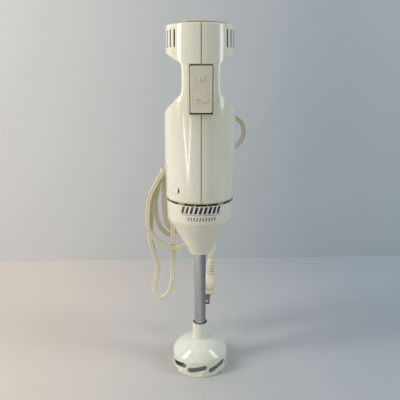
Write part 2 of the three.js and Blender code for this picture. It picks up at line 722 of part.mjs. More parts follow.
const commutatorFoot = statorTop + windingEnd + 2.5;
const plateFoot = commutatorFoot + commutatorHeight + 1;
const plateTop = plateFoot + bracketPlate;
const bearingSeat = bearingRadius + clearance;
const bearingHub = bearingSeat + 2;
const bracketPosts = (radius, from, to) => boltSides.map(
  (side) => rodZ(radius, from, to, side * boltCircle, 0, 12));
add(root, 'upper_bracket', cut(
  join(
    disc(statorRadius, plateFoot, plateTop, 36),
    disc(bearingHub, plateTop - 1, upperBearingFoot + bearingHeight, 20),
    ...bracketPosts(postRadius, statorTop + clearance, plateFoot + 1),
  ),
  disc(motorShaftRadius + 1, plateFoot - 1, upperBearingFoot + 1, 20),
  disc(bearingSeat, upperBearingFoot - clearance, upperBearingFoot + bearingHeight + 1, 20),
  ...boltRoom(boltRadius + clearance, statorTop - 1, plateTop + 1),
  ...[45, 135, 225, 315].map((angle) => turnedTo(rodZ(4, plateFoot - 1, plateTop + 1, 16, 0, 16), angle)),
), grey);
add(root, 'lower_bracket', cut(
  join(
    block([-barReach, -5, lowerBearingFoot], [barReach, 5, lowerBearingFoot + bracketPlate]),
    disc(bearingHub, lowerBearingFoot, lowerBearingFoot + bearingHeight + 1, 20),
    ...bracketPosts(postRadius, lowerBearingFoot + 1, statorFoot - clearance),
  ),
  disc(motorShaftRadius + 1, lowerBearingFoot - 1, lowerBearingFoot + 2, 24),
  disc(bearingSeat, lowerBearingFoot + 1 - clearance, lowerBearingFoot + 30, 20),
  ...boltRoom(boltRadius + clearance, lowerBearingFoot - 1, statorFoot),
), grey);
for (const [name, side] of [['motor_bolt_left', -1], ['motor_bolt_right', 1]]) {
  add(root, name, join(
    rodZ(boltRadius, lowerBearingFoot - 1, plateTop + clearance + 1, side * boltCircle, 0, 12),
    rodZ(boltRadius + 1.4, plateTop + clearance, plateTop + clearance + 2, side * boltCircle, 0, 6),
  ), steel);
}
const bearingRing = (foot) => ring(
  motorShaftRadius + clearance, bearingRadius, foot, foot + bearingHeight - 0.6, 24);
add(root, 'upper_bearing', bearingRing(upperBearingFoot), steel);
add(root, 'lower_bearing', bearingRing(lowerBearingFoot + 1), steel);
add(root, 'upper_isolator', ring(
  bearingHub + clearance, isolatorRadius, saddleFoot - 1, saddleFoot + 4, 20), rubber);
for (const [name, side] of [['lower_isolator_left', -1], ['lower_isolator_right', 1]]) {
  const from = side * (barReach + clearance);
  const to = side * (barReach + clearance + isolatorDepth);
  add(root, name, block(
    [Math.min(from, to), -isolatorHalf, lowerBearingFoot - 0.5],
    [Math.max(from, to), isolatorHalf, footRestTop + 0.5],
  ), rubber);
}

// ---------------------------------------------------------------- brushes
const holderHalf = brushSize / 2 + clearance + brushWall;
const brushMiddle = plateFoot - clearance - holderHalf;
const brushFrom = commutatorRadius + clearance;
const brushTo = brushFrom + brushLength;
const springEnd = brushTo + 5.2;
for (const [name, side] of [['front', -1], ['rear', 1]]) {
  const across = (half, from, to) => block(
    [-half, Math.min(side * from, side * to), brushMiddle - half],
    [half, Math.max(side * from, side * to), brushMiddle + half],
  );
  add(root, `brush_holder_${name}`, cut(
    across(holderHalf, brushFrom + 1.5, springEnd + 1.2),
    across(brushSize / 2 + clearance, brushFrom - 1, springEnd + clearance),
  ), brass);
  add(root, `carbon_brush_${name}`, across(brushSize / 2, brushFrom, brushTo), carbon);
  const helix = Array.from({ length: springTurns * 8 + 1 }, (_, i) => new THREE.Vector3(
    1.6 * Math.cos((i * Math.PI) / 4),
    side * THREE.MathUtils.lerp(brushTo + 0.7, springEnd - 0.4, i / (springTurns * 8)),
    brushMiddle + 1.6 * Math.sin((i * Math.PI) / 4),
  ));
  const wire = new THREE.Shape();
  wire.absarc(0, 0, 0.3, 0, 2 * Math.PI);
  add(root, `brush_spring_${name}`, surface(solid(new THREE.ExtrudeGeometry(wire, {
    steps: springTurns * 8,
    curveSegments: 3,
    bevelEnabled: false,
    extrudePath: new THREE.CatmullRomCurve3(helix),
  }))), steel);
}

// ---------------------------------------------------------------- rotor: all that turns with the blade
const rotor = new THREE.Group();
root.add(rotor);
const coreRadius = boreRadius - airGap;
const fanFoot = lowerBearingFoot - 2 - fanHeight;
const couplingFoot = tubeTop + 1.5;
const couplingTop = couplingFoot + couplingHeight;
const shaftJoint = couplingFoot + couplingHeight / 2;
const shaftTop = upperBearingFoot + bearingHeight + 1;
const sleeve = motorShaftRadius + clearance;
add(rotor, 'motor_shaft', disc(motorShaftRadius, shaftJoint + clearance, shaftTop, 20), steel);
const inSlots = (halfWidth, from, to, foot, top) => Array.from({ length: armatureSlots }, (_, i) => turnedTo(
  block([from, -halfWidth, foot], [to, halfWidth, top]), (i + 0.5) * (360 / armatureSlots)));
add(rotor, 'armature_core', cut(
  ring(sleeve, coreRadius, statorFoot, statorTop, 32),
  ...inSlots(slotHalf, coreRadius - slotDepth, coreRadius + 2, statorFoot - 1, statorTop + 1),
), lamination);
const windingOuter = coreRadius - 1.2;
const windingRing = (foot, top) => turned([
  [sleeve, foot], [windingOuter - 1.6, foot], [windingOuter, foot + 1.5],
  [windingOuter, top - 1.5], [windingOuter - 1.6, top], [sleeve, top],
], 16);
add(rotor, 'armature_winding', join(
  windingRing(statorTop + clearance, statorTop + windingEnd),
  windingRing(statorFoot - windingEnd, statorFoot - clearance),
  ...inSlots(slotHalf - clearance, coreRadius - slotDepth + clearance, windingOuter - 0.6,
    statorFoot - 1, statorTop + 1),
), copper);
add(rotor, 'commutator', ring(
  sleeve, commutatorRadius, commutatorFoot, commutatorFoot + commutatorHeight, 24), copper);
const fins = Array.from({ length: fanBlades }, (_, i) => turnedTo(
  block([8, -0.8, fanFoot + 0.6], [fanRadius, 0.8, fanFoot + fanHeight]), i * (360 / fanBlades)));
add(rotor, 'cooling_fan', join(
  ring(sleeve, fanRadius, fanFoot, fanFoot + 1.4),
  ring(sleeve, 7, fanFoot, fanFoot + fanHeight, 16),
  ...fins,
), white);
add(rotor, 'shaft_coupling', turned([
  [driveShaftRadius + clearance, couplingFoot], [couplingRadius, couplingFoot],
  [couplingRadius, couplingTop], [sleeve, couplingTop],
  [sleeve, shaftJoint], [driveShaftRadius + clearance, shaftJoint],
], 24), black);
const bladeHubFoot = bladeHeight - bladeHubHeight / 2;
const shaftFoot = bladeHubFoot - bladeNutHeight - 1;
add(rotor, 'drive_shaft', disc(driveShaftRadius, shaftFoot, shaftJoint - clearance, 20), steel);
const arm = (side) => raised(outline([
  [2, -bladeWidth / 2 + 1], [bladeReach * 0.75, -bladeWidth / 2], [bladeReach, -0.5],
  [bladeReach * 0.96, bladeWidth / 2 - 1], [bladeReach * 0.6, bladeWidth / 2 - 2], [2, bladeWidth / 2 - 1],
]), -bladeThickness / 2, bladeThickness / 2)
  .rotateX(THREE.MathUtils.degToRad(bladePitch))
  .rotateZ(side > 0 ? 0 : Math.PI)
  .translate(0, 0, bladeHeight);
add(rotor, 'blade', cut(
  join(disc(bladeHubRadius, bladeHubFoot, bladeHubFoot + bladeHubHeight, 24), arm(1), arm(-1)),
  disc(driveShaftRadius + clearance, bladeHubFoot - 1, bladeHubFoot + bladeHubHeight + 1, 24),
), steel);
add(rotor, 'blade_nut', cut(
  disc(bladeHubRadius - 0.6, bladeHubFoot - clearance - bladeNutHeight, bladeHubFoot - clearance, 6),
  disc(driveShaftRadius + clearance, 0, bladeHubFoot, 20),
), steel);

// ---------------------------------------------------------------- strain relief and cord clamp
const reliefFoot = -7;
const reliefStraight = 4;
const reliefTurned = new THREE.LatheGeometry([
  [0, reliefFoot], [reliefRoot, reliefFoot], [reliefRoot, reliefStraight],
  [reliefTip, reliefStraight + reliefLength], [0, reliefStraight + reliefLength],
].map(([radius, height]) => new THREE.Vector2(radius, height)), 20);
add(root, 'strain_relief', cut(
  alongRelief(reliefTurned, 0),
  cut(body(-clearance / 2), body(wall + clearance / 2), alongRelief(rod(reliefNeck, 40), 0)),
), lead);
const clampFoot = gripTop + 10 + clearance;
const clampTop = clampFoot + 3.6;
add(root, 'cord_clamp', cut(
  block([-12, 16, clampFoot], [12, 22, clampTop]),
  ...[-clampSide, clampSide].map(
    (x) => rodZ(screwRadius + clearance, clampFoot - 1, clampTop + 1, x, clampDepth, 16)),
), grey);
for (const [name, x] of [['clamp_screw_left', -clampSide], ['clamp_screw_right', clampSide]]) {
  add(root, name, join(
    rodZ(screwRadius, clampFoot - 7, clampTop + clearance + 0.5, x, clampDepth, 12),
    rodZ(
      screwHeadRadius - 0.4, clampTop + clearance, clampTop + clearance + screwHeadHeight,
      x, clampDepth, 16,
    ),
  ), steel);
}

// A tube of round section along a smooth line through the points.
function tube(points, radius, sides, steps) {
  const section = new THREE.Shape();
  section.absarc(0, 0, radius, 0, 2 * Math.PI);
  const corners = points.map((point) => new THREE.Vector3(...point));
  const line = new THREE.CatmullRomCurve3(corners, false, 'centripetal');
  line.arcLengthDivisions = 2000;
  return surface(solid(new THREE.ExtrudeGeometry(section, {
    steps, curveSegments: sides / 2, bevelEnabled: false, extrudePath: line,
  })));
}

// ---------------------------------------------------------------- power cord, its tie and its plug
// The cord leaves the head, swings out to the right, and is gathered in a tie at the left of the
// barrel. Four passes go through the tie, each in a layer of its own: three turn in loops below it
// and come back up behind the barrel, and the last carries the plug.
const reliefEnd = reliefStraight + reliefLength + clearance;
const cordStart = [0, 10].map((more) => reliefSeat.clone()
  .addScaledVector(reliefOut, reliefEnd + more).toArray());
const plugAt = [14.7, 45, 109.3];
const layers = [41, 45, 49, 53];
const tieAt = [-38.4, 47, 217];
const tied = (layer) => [tieAt[0], layers[layer], tieAt[2]];
const leanAngle = THREE.MathUtils.degToRad(plugLean);
const plugAxis = [Math.sin(leanAngle), 0, Math.cos(leanAngle)];
const abovePlug = (rise) => plugAt.map((at, i) => at + rise * plugAxis[i]);
const cordRoute = [
  ...cordStart,
  [0.9, 60, 311], [5.1, 57, 299], [15.6, 50, 288], [28.6, 45.5, 281.5], [40.1, 43.5, 276.5],
  [47.6, 43, 270.5], [50.4, 43, 262], [48.1, 43, 252.5], [40.6, 42.5, 243.5], [26.6, 41.5, 237],
  [6.6, 41, 231], [-16.4, 41, 225.5],
  tied(0),
  [-48.9, 41, 201], [-55.9, 41, 186], [-58.6, 41, 168], [-58.2, 41, 151.7], [-52.4, 41, 139.5],
  [-41.4, 41, 129.6], [-27.4, 41.5, 124], [-15.1, 42, 128.5], [-2.4, 43, 138], [9.6, 44, 152],
  [16.6, 45, 171], [16.6, 45, 195], [10.6, 45, 219], [0.6, 45, 234], [-13.4, 45, 236], [-26.4, 45, 228.5],
  tied(1),
  [-47.4, 45, 198], [-51.9, 45, 180], [-54.9, 45, 160], [-56.9, 45, 138], [-53.4, 45, 118],
  [-49.2, 45, 97], [-52.4, 45, 80], [-53.9, 45, 69], [-48.4, 45, 58.5], [-40.9, 45, 60],
  [-34.4, 45, 71], [-31.4, 45, 87], [-31.4, 45.3, 108], [-30.2, 45.4, 133], [-29.4, 45.5, 155],
  [-23.4, 47, 178], [-10.4, 49, 204], [3.6, 49, 224], [12.6, 49, 238], [11.6, 49, 251], [-0.4, 49, 256],
  [-13.4, 49, 247], [-26.4, 49, 231],
  tied(2),
  [-45.4, 49, 200], [-49.9, 49, 182], [-49.2, 49, 162], [-43.9, 49, 147], [-34.9, 49.5, 139],
  [-25.9, 50, 143], [-17.4, 51, 156], [-7.4, 52, 178], [4.6, 53, 204], [15.6, 53, 226], [21.6, 53, 241],
  [15.6, 53, 254], [1.6, 53, 252], [-16.4, 53, 236],
  tied(3),
  [-40.2, 53, 200], [-40.2, 53, 182], [-39.6, 53, 165], [-36.9, 53.5, 150], [-28.4, 54.5, 143],
  [-15.4, 54.5, 149], [-0.4, 53, 154], [10.6, 50, 150.5], [17.1, 47.5, 139], [17.9, 46, 125.4],
  abovePlug(6), abovePlug(clearance),
];
add(root, 'power_cord', tube(cordRoute, cordRadius, 8, 80), lead);

const tieRoom = 3.4;
const tieInner = [cordRadius + tieRoom, (layers[3] - layers[0]) / 2 + cordRadius + tieRoom / 2];
const tieOuter = tieInner.map((half) => half + 1);
const tieHalfLength = 2;
const tieGroup = new THREE.Group();
tieGroup.position.set(...tieAt);
tieGroup.rotation.y = THREE.MathUtils.degToRad(38);
root.add(tieGroup);
add(tieGroup, 'cord_tie', cut(
  block([-tieOuter[0], -tieOuter[1], -tieHalfLength], [tieOuter[0], tieOuter[1], tieHalfLength]),
  block([-tieInner[0], -tieInner[1], -10], [tieInner[0], tieInner[1], 10]),
), cream);

const plug = new THREE.Group();
plug.position.set(...plugAt);
plug.rotation.y = leanAngle;
root.add(plug);
const across = plugWidth / 2;
const along = plugBreadth / 2;
add(plug, 'plug_body', join(
  turned([
      [0, -plugBoot - 1], [plugBootRoot, -plugBoot - 1], [plugBootRoot, -plugBoot],
      [plugBootTip, 0], [0, 0],
    ], 16),
  raised(outline([
    [across, -along + plugCorner], [across, along - plugCorner],
    [across - plugCorner, along], [-across + plugCorner, along],
    [-across, along - plugCorner], [-across, -along + plugCorner],
    [-across + plugCorner, -along], [across - plugCorner, -along],
  ]), -plugBoot - plugBody, -plugBoot),
), lead);
for (const [name, side] of [['plug_blade_front', -1], ['plug_blade_rear', 1]]) {
  const prongFoot = -plugBoot - plugBody - clearance - prongLength;
  add(plug, name, cut(
    block(
      [-prongWidth / 2, side * prongSpacing / 2 - prongThickness / 2, prongFoot],
      [prongWidth / 2, side * prongSpacing / 2 + prongThickness / 2, prongFoot + prongLength],
    ),
    rod(prongHole, prongSpacing * 2, 12).translate(0, 0, prongFoot + prongHoleRise),
  ), brass);
}

export default root;
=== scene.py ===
"""Immersion blender: the finished pieces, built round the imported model, in metres."""
from math import cos, hypot, pi, radians, sin, sqrt, tan

import bmesh
import bpy
from mathutils import Matrix, Vector


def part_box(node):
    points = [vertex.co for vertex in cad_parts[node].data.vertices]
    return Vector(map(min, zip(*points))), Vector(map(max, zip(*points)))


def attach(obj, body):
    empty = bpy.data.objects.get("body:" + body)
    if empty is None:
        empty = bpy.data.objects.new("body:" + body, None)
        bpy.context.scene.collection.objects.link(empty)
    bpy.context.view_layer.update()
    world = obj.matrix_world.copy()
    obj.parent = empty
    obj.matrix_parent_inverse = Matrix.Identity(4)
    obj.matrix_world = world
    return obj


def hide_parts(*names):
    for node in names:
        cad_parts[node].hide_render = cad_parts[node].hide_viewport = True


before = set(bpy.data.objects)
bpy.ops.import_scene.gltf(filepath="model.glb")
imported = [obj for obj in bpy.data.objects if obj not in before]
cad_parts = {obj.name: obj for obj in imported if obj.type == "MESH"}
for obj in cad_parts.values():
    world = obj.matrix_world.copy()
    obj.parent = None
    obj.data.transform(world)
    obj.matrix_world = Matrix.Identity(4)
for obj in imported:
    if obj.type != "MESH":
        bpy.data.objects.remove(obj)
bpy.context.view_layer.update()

mm = 0.001

# ------------------------------------------------------------------ camera
# It stands a forearm's length in front of the grip, a little above the switch, and looks down
# the body to the foot of the guard.
lens_length = 39.24          # millimetres, as the film's width is
film_width = 36
camera_place = (-15.4 * mm, -439.7 * mm, 317.6 * mm)
camera_pitch = radians(74.4)
camera_turn = radians(-2)
camera = bpy.data.objects.new("camera", bpy.data.cameras.new("camera"))
bpy.context.scene.collection.objects.link(camera)
camera.data.lens = lens_length
camera.data.sensor_width = film_width
camera.location = camera_place
camera.rotation_euler = (camera_pitch, 0, camera_turn)
bpy.context.scene.camera = camera


# ------------------------------------------------------------------ power cord
# A flat two-core lead in soft vinyl, about 1.4 m long. It leaves the back of the
# head, and is gathered by a tie beside the barrel, with loops hanging on both sides of it.
class Socket:
    """A number in a node tree. Arithmetic on it adds Math nodes."""

    def __init__(self, sheet, link):
        self.sheet = sheet
        self.link = link

    def __add__(self, other):
        return self.sheet.maths("ADD", self, other)

    def __sub__(self, other):
        return self.sheet.maths("SUBTRACT", self, other)

    def __mul__(self, other):
        return self.sheet.maths("MULTIPLY", self, other)

    def __truediv__(self, other):
        return self.sheet.maths("DIVIDE", self, other)

    def __rsub__(self, other):
        return self.sheet.maths("SUBTRACT", other, self)

    def __abs__(self):
        return self.sheet.maths("ABSOLUTE", self)

    __radd__ = __add__
    __rmul__ = __mul__


class Sheet:
    """A node tree that is being drawn."""

    def __init__(self, tree):
        self.tree = tree
        tree.nodes.clear()

    def feed(self, socket, value):
        if isinstance(value, Socket):
            self.tree.links.new(value.link, socket)
        else:
            socket.default_value = value

    def node(self, kind, settings=None, sockets=None, out=0):
        made = self.tree.nodes.new(kind)
        for key, value in (settings or {}).items():
            setattr(made, key, value)
        for key, value in (sockets or {}).items():
            self.feed(made.inputs[key], value)
        return None if out is None else Socket(self, made.outputs[out])

    def maths(self, operation, first, second=0.0):
        return self.node("ShaderNodeMath", {"operation": operation}, {0: first, 1: second})


def ink(red, green, blue):
    """A colour from its display values, 0 to 255."""
    def light(value):
        value /= 255
        return value / 12.92 if value <= 0.04045 else ((value + 0.055) / 1.055) ** 2.4
    return (light(red), light(green), light(blue), 1.0)


class Finish(Sheet):
    """A material. Its patterns lie on Object coordinates, in metres."""

    def __init__(self, name, **sockets):
        self.material = bpy.data.materials.new(name)
        self.material.use_nodes = True
        super().__init__(self.material.node_tree)
        self.place = self.node("ShaderNodeTexCoord", out="Object")
        self.shader = self.tree.nodes.new("ShaderNodeBsdfPrincipled")
        output = self.tree.nodes.new("ShaderNodeOutputMaterial")
        self.tree.links.new(self.shader.outputs[0], output.inputs[0])
        self.surface(**sockets)

    def surface(self, **sockets):
        for name, value in sockets.items():
            self.feed(self.shader.inputs[name.replace("_", " ")], value)

    def axes(self):
        return [self.node("ShaderNodeSeparateXYZ", {}, {0: self.place}, out=i) for i in range(3)]

    def stretched(self, x, y, z):
        """The place with each axis scaled, so that a pattern is drawn out along an axis."""
        return self.node("ShaderNodeMapping", {}, {"Vector": self.place, "Scale": (x, y, z)})

    def noise(self, size, detail=3.0, place=None, rough=0.5):
        """Cloudy values about 0.5 whose blobs are about size metres across."""
        return self.node("ShaderNodeTexNoise", {}, {
            "Vector": place or self.place, "Scale": 0.5 / size, "Detail": detail, "Roughness": rough})

    def step(self, value, start, end):
        """0 below start and 1 above end, with a soft change between."""
        return self.node("ShaderNodeMapRange", {"interpolation_type": "SMOOTHSTEP"}, {
            "Value": value, "From Min": start, "From Max": end})

    def band(self, value, low, high, soft):
        return self.step(value, low - soft, low) * (1 - self.step(value, high, high + soft))

    def mix(self, factor, first, second):
        return self.node("ShaderNodeMix", {"data_type": "RGBA"}, {0: factor, 6: first, 7: second}, out=2)

    def bump(self, height, depth, under=None):
        """Relief: height 1 stands depth metres proud of height 0."""
        sockets = {"Height": height, "Distance": depth, "Strength": 1.0}
        if under is not None:
            sockets["Normal"] = under
        return self.node("ShaderNodeBump", {}, sockets)

    def scuffs(self, width, reach, amount, place=None):
        """Thin broken lines: the ridges of a noise that is drawn out along one axis."""
        ridges = abs(self.noise(width, 2.0, place) - 0.5)
        lines = 1 - self.step(ridges, 0.004, 0.02)
        return lines * self.step(self.noise(reach, 2.0), 1 - amount, 1.05 - amount)


def vinyl(name, colour, aged, grime):
    """Soft aged vinyl: cloudy yellowing, dull handling marks, specks of dirt."""
    finish = Finish(name, Specular_IOR_Level=0.4)
    age = finish.step(finish.noise(30 * mm, 3), 0.35, 0.65)
    spots = finish.step(finish.noise(1.6 * mm, 4), 0.6, 0.72)
    body = finish.mix(age * 0.8, colour, aged)
    body = finish.mix(spots * 0.35, body, grime)
    finish.surface(
        Base_Color=body,
        Roughness=0.42 + finish.noise(4 * mm) * 0.16,
        Normal=finish.bump(finish.noise(0.5 * mm, 4), 0.03 * mm),
        Subsurface_Weight=0.04)
    return finish


def placed(name, data):
    """A new object in the scene."""
    made = bpy.data.objects.new(name, data)
    bpy.context.scene.collection.objects.link(made)
    return made


def smooth_object(name, mesh, finish, crease=40):
    """Turns a mesh into a piece with smooth faces that breaks at edges sharper than crease."""
    made = placed(name, mesh)
    mesh.materials.clear()
    mesh.materials.append(finish.material)
    mesh.shade_smooth()
    mesh.set_sharp_from_angle(angle=radians(crease))
    return made


def closed_mesh(name, points, faces, apart=1e-7):
    """A mesh with its doubles merged and all its faces pointing out."""
    mesh = bpy.data.meshes.new(name)
    mesh.from_pydata([tuple(point) for point in points], [], faces)
    shape = bmesh.new()
    shape.from_mesh(mesh)
    bmesh.ops.remove_doubles(shape, verts=shape.verts, dist=apart)
    bmesh.ops.dissolve_degenerate(shape, edges=shape.edges, dist=apart)
    bmesh.ops.recalc_face_normals(shape, faces=shape.faces)
    shape.to_mesh(mesh)
    shape.free()
    return mesh


def lofted(name, rings, ends=True):
    """A skin over rings of points, each ring closed on itself, with the two ends filled."""
    count = len(rings[0])
    points = [point for ring in rings for point in ring]
    faces = []
    for row in range(len(rings) - 1):
        for column in range(count):
            ahead = (column + 1) % count
            faces.append((
                row * count + column, row * count + ahead,
                (row + 1) * count + ahead, (row + 1) * count + column))
    if ends:
        faces.append(tuple(reversed(range(count))))
        faces.append(tuple(range((len(rings) - 1) * count, len(rings) * count)))
    return closed_mesh(name, points, faces)


def smooth_line(points, spacing):
    """Centripetal Catmull-Rom line through the points, sampled at an even spacing."""
    points = [Vector(point) for point in points]
    padded = [2 * points[0] - points[1], *points, 2 * points[-1] - points[-2]]
    fine = []
    for a, b, c, d in zip(padded, padded[1:], padded[2:], padded[3:]):
        before, here, after = ((q - p).length ** 0.5 for p, q in ((a, b), (b, c), (c, d)))
        leave = ((b - a) / before - (c - a) / (before + here) + (c - b) / here) * here
        arrive = ((c - b) / here - (d - b) / (here + after) + (d - c) / after) * here
        for i in range(24):
            t = i / 24
            fine.append(
                b * (2 * t**3 - 3 * t**2 + 1) + leave * (t**3 - 2 * t**2 + t)
                + c * (3 * t**2 - 2 * t**3) + arrive * (t**3 - t**2))
    fine.append(points[-1])
    run = [0.0]
    for p, q in zip(fine, fine[1:]):
        run.append(run[-1] + (q - p).length)
    steps = round(run[-1] / spacing)
    even, at = [], 0
    for i in range(steps + 1):
        want = run[-1] * i / steps
        while at < len(run) - 2 and run[at + 1] < want:
            at += 1
        share = (want - run[at]) / (run[at + 1] - run[at])
        even.append(fine[at].lerp(fine[at + 1], share))
    return even, run[-1]


relief_tilt = radians(50)
relief_out = Vector((0, cos(relief_tilt), -sin(relief_tilt)))
relief_seat = Vector((0, 32.4, 352)) * mm
relief_length = 30 * mm
plug_top = Vector((14.7, 45, 109.3)) * mm
plug_lean = radians(5.2)
plug_axis = Vector((sin(plug_lean), 0, cos(plug_lean)))
tie_place = Vector((-38.4, 47, 217)) * mm
cord_gap = 0.3 * mm
cord_route = [
    relief_seat + relief_out * (relief_length + cord_gap),
    relief_seat + relief_out * (relief_length + cord_gap + 10 * mm),
    *(Vector(point) * mm for point in (
        (0.9, 60, 311), (5.1, 57, 299), (15.6, 50, 288), (28.6, 45.5, 281.5), (40.1, 43.5, 276.5),
        (47.6, 43, 270.5), (50.4, 43, 262), (48.1, 43, 252.5), (40.6, 42.5, 243.5), (26.6, 41.5, 237),
        (6.6, 41, 231), (-16.4, 41, 225.5), (-38.4, 41, 217),
        (-48.9, 41, 201), (-55.9, 41, 186), (-58.6, 41, 168), (-58.2, 41, 151.7), (-52.4, 41, 139.5),
        (-41.4, 41, 129.6), (-27.4, 41.5, 124), (-15.1, 42, 128.5), (-2.4, 43, 138), (9.6, 44, 152),
        (16.6, 45, 171), (16.6, 45, 195), (10.6, 45, 219), (0.6, 45, 234), (-13.4, 45, 236),
        (-26.4, 45, 228.5), (-38.4, 45, 217),
        (-47.4, 45, 198), (-51.9, 45, 180), (-54.9, 45, 160), (-56.9, 45, 138), (-53.4, 45, 118),
        (-49.2, 45, 97), (-52.4, 45, 80), (-53.9, 45, 69), (-48.4, 45, 58.5), (-40.9, 45, 60),
        (-34.4, 45, 71), (-31.4, 45, 87), (-31.4, 45.3, 108), (-30.2, 45.4, 133), (-29.4, 45.5, 155),
        (-23.4, 47, 178), (-10.4, 49, 204), (3.6, 49, 224), (12.6, 49, 238), (11.6, 49, 251),
        (-0.4, 49, 256), (-13.4, 49, 247), (-26.4, 49, 231), (-38.4, 49, 217),
        (-45.4, 49, 200), (-49.9, 49, 182), (-49.2, 49, 162), (-43.9, 49, 147), (-34.9, 49.5, 139),
        (-25.9, 50, 143), (-17.4, 51, 156), (-7.4, 52, 178), (4.6, 53, 204), (15.6, 53, 226),
        (21.6, 53, 241), (15.6, 53, 254), (1.6, 53, 252), (-16.4, 53, 236), (-38.4, 53, 217),
        (-40.2, 53, 200), (-40.2, 53, 182), (-39.6, 53, 165), (-36.9, 53.5, 150),
        (-28.4, 54.5, 143), (-15.4, 54.5, 149), (-0.4, 53, 154), (10.6, 50, 150.5), (17.1, 47.5, 139),
        (17.9, 46, 125.4))),
    plug_top + plug_axis * 6 * mm,
    plug_top + plug_axis * cord_gap,
]
core_radius = 1.45 * mm
core_offset = 1.35 * mm      # each core from the middle of the lead
groove_half = 0.85 * mm


def two_core_section():
    """Two round cores side by side with a groove between them, as (across, through) pairs."""
    lobe = [radians(-118 + 236 * i / 8) for i in range(9)]
    right = [(core_offset + core_radius * cos(a), core_radius * sin(a)) for a in lobe]
    left = [(-x, -y) for x, y in right]
    return [*right, (0, groove_half), *left, (0, -groove_half)]


cord_step = 1.5 * mm
twist_most = radians(9)
twist_run = 0.031            # metres of lead to a radian of its slow twist to and fro
twist_ease = 20              # steps over which the twist fades out at each end
cord_path, cord_length = smooth_line(cord_route, cord_step)
last_step = len(cord_path) - 1
cord_rings = []
for i, centre in enumerate(cord_path):
    along = (cord_path[min(i + 1, last_step)] - cord_path[max(i - 1, 0)]).normalized()
    across = along.cross(Vector((0, 1, 0))).normalized()
    through = along.cross(across)
    fade = min(1, i / twist_ease, (last_step - i) / twist_ease)
    twist = twist_most * sin(i * cord_step / twist_run) * fade
    flat = across * cos(twist) + through * sin(twist)
    thick = along.cross(flat)
    cord_rings.append([centre + flat * x + thick * y for x, y in two_core_section()])
cord_vinyl = vinyl("cord_vinyl", ink(226, 219, 194), ink(208, 198, 162), ink(142, 126, 96))
power_cord = smooth_object("power_cord_flat", lofted("power_cord_flat", cord_rings), cord_vinyl, 75)
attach(power_cord, "frame")
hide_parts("power_cord")


# ------------------------------------------------------------------ strain relief
# A tapered sleeve in the same vinyl, moulded on the cord. Its neck is held in the wall of the
# head, and a row of ribs along it lets the cord bend without kinking.
def turned(name, profile, segments=64, place=None):
    """A solid from (radius, height) pairs turned about Z; it starts and ends on the axis or closes."""
    if profile[0][0] > 0:
        profile = [*profile, profile[0]]
    rings = [[
        (radius * sin(2 * pi * i / segments), -radius * cos(2 * pi * i / segments), height)
        for i in range(segments)] for radius, height in profile]
    mesh = lofted(name, rings, ends=False)
    if place is not None:
        mesh.transform(place)
    return mesh


def rounded(corners, radius, steps=5):
    """The same outline with each corner rounded; a corner may give its own radius as a third number."""
    out = []
    for i, corner in enumerate(corners):
        here = Vector(corner[:2])
        bend = corner[2] if len(corner) > 2 else radius
        before = Vector(corners[i - 1][:2]) - here
        after = Vector(corners[(i + 1) % len(corners)][:2]) - here
        if bend <= 0 or before.length < 1e-9 or after.length < 1e-9:
            out.append(tuple(here))
            continue
        turn = before.angle(after)
        wanted = bend / max(0.05, abs(sin(turn / 2) / cos(turn / 2)))
        reach = min(wanted, before.length * 0.49, after.length * 0.49)
        start, end = here + before.normalized() * reach, here + after.normalized() * reach
        for k in range(steps + 1):
            t = k / steps
            out.append(tuple(start * (1 - t) ** 2 + here * 2 * t * (1 - t) + end * t**2))
    return out


class Pattern(Sheet):
    """A Geometry Nodes tree that sets copies of one object out along a rule."""

    def __init__(self, name, **inputs):
        self.group = bpy.data.node_groups.new(name, "GeometryNodeTree")
        super().__init__(self.group)
        kinds = {"part": "NodeSocketObject", "finish": "NodeSocketMaterial", "count": "NodeSocketInt"}
        self.group.interface.new_socket("geometry", in_out="INPUT", socket_type="NodeSocketGeometry")
        self.keys = {}
        self.values = inputs
        for key in inputs:
            made = self.group.interface.new_socket(
                key, in_out="INPUT", socket_type=kinds.get(key, "NodeSocketFloat"))
            self.keys[key] = made.identifier
        self.group.interface.new_socket("geometry", in_out="OUTPUT", socket_type="NodeSocketGeometry")
        self.inputs = self.tree.nodes.new("NodeGroupInput")

    def __getitem__(self, key):
        return Socket(self, self.inputs.outputs[key])

    def set_out(self, position, rotation, scale):
        """Puts count copies of part at the points, and ends the tree."""
        points = self.node("GeometryNodePoints", {}, {"Count": self["count"], "Position": position})
        part = self.node("GeometryNodeObjectInfo", {}, {"Object": self["part"]}, out="Geometry")
        copies = self.node("GeometryNodeInstanceOnPoints", {}, {
            "Points": points, "Instance": part, "Rotation": rotation, "Scale": scale})
        real = self.node("GeometryNodeRealizeInstances", {}, {0: copies})
        coated = self.node("GeometryNodeSetMaterial", {}, {"Geometry": real, "Material": self["finish"]})
        output = self.tree.nodes.new("NodeGroupOutput")
        self.feed(output.inputs[0], coated)

    def made(self, name):
        """The plain mesh that the tree gives."""
        holder = placed(name, bpy.data.meshes.new(name))
        modifier = holder.modifiers.new("pattern", "NODES")
        modifier.node_group = self.group
        for key, identifier in self.keys.items():
            modifier[identifier] = self.values[key]
        return plain_mesh(holder)


def discard(*tools):
    for tool in tools:
        bpy.data.objects.remove(tool)


def plain_mesh(holder, *tools):
    """The mesh that an object's modifiers give; the object and its tools are cleared away."""
    depsgraph = bpy.context.evaluated_depsgraph_get()
    mesh = bpy.data.meshes.new_from_object(holder.evaluated_get(depsgraph))
    discard(holder, *tools)
    return mesh


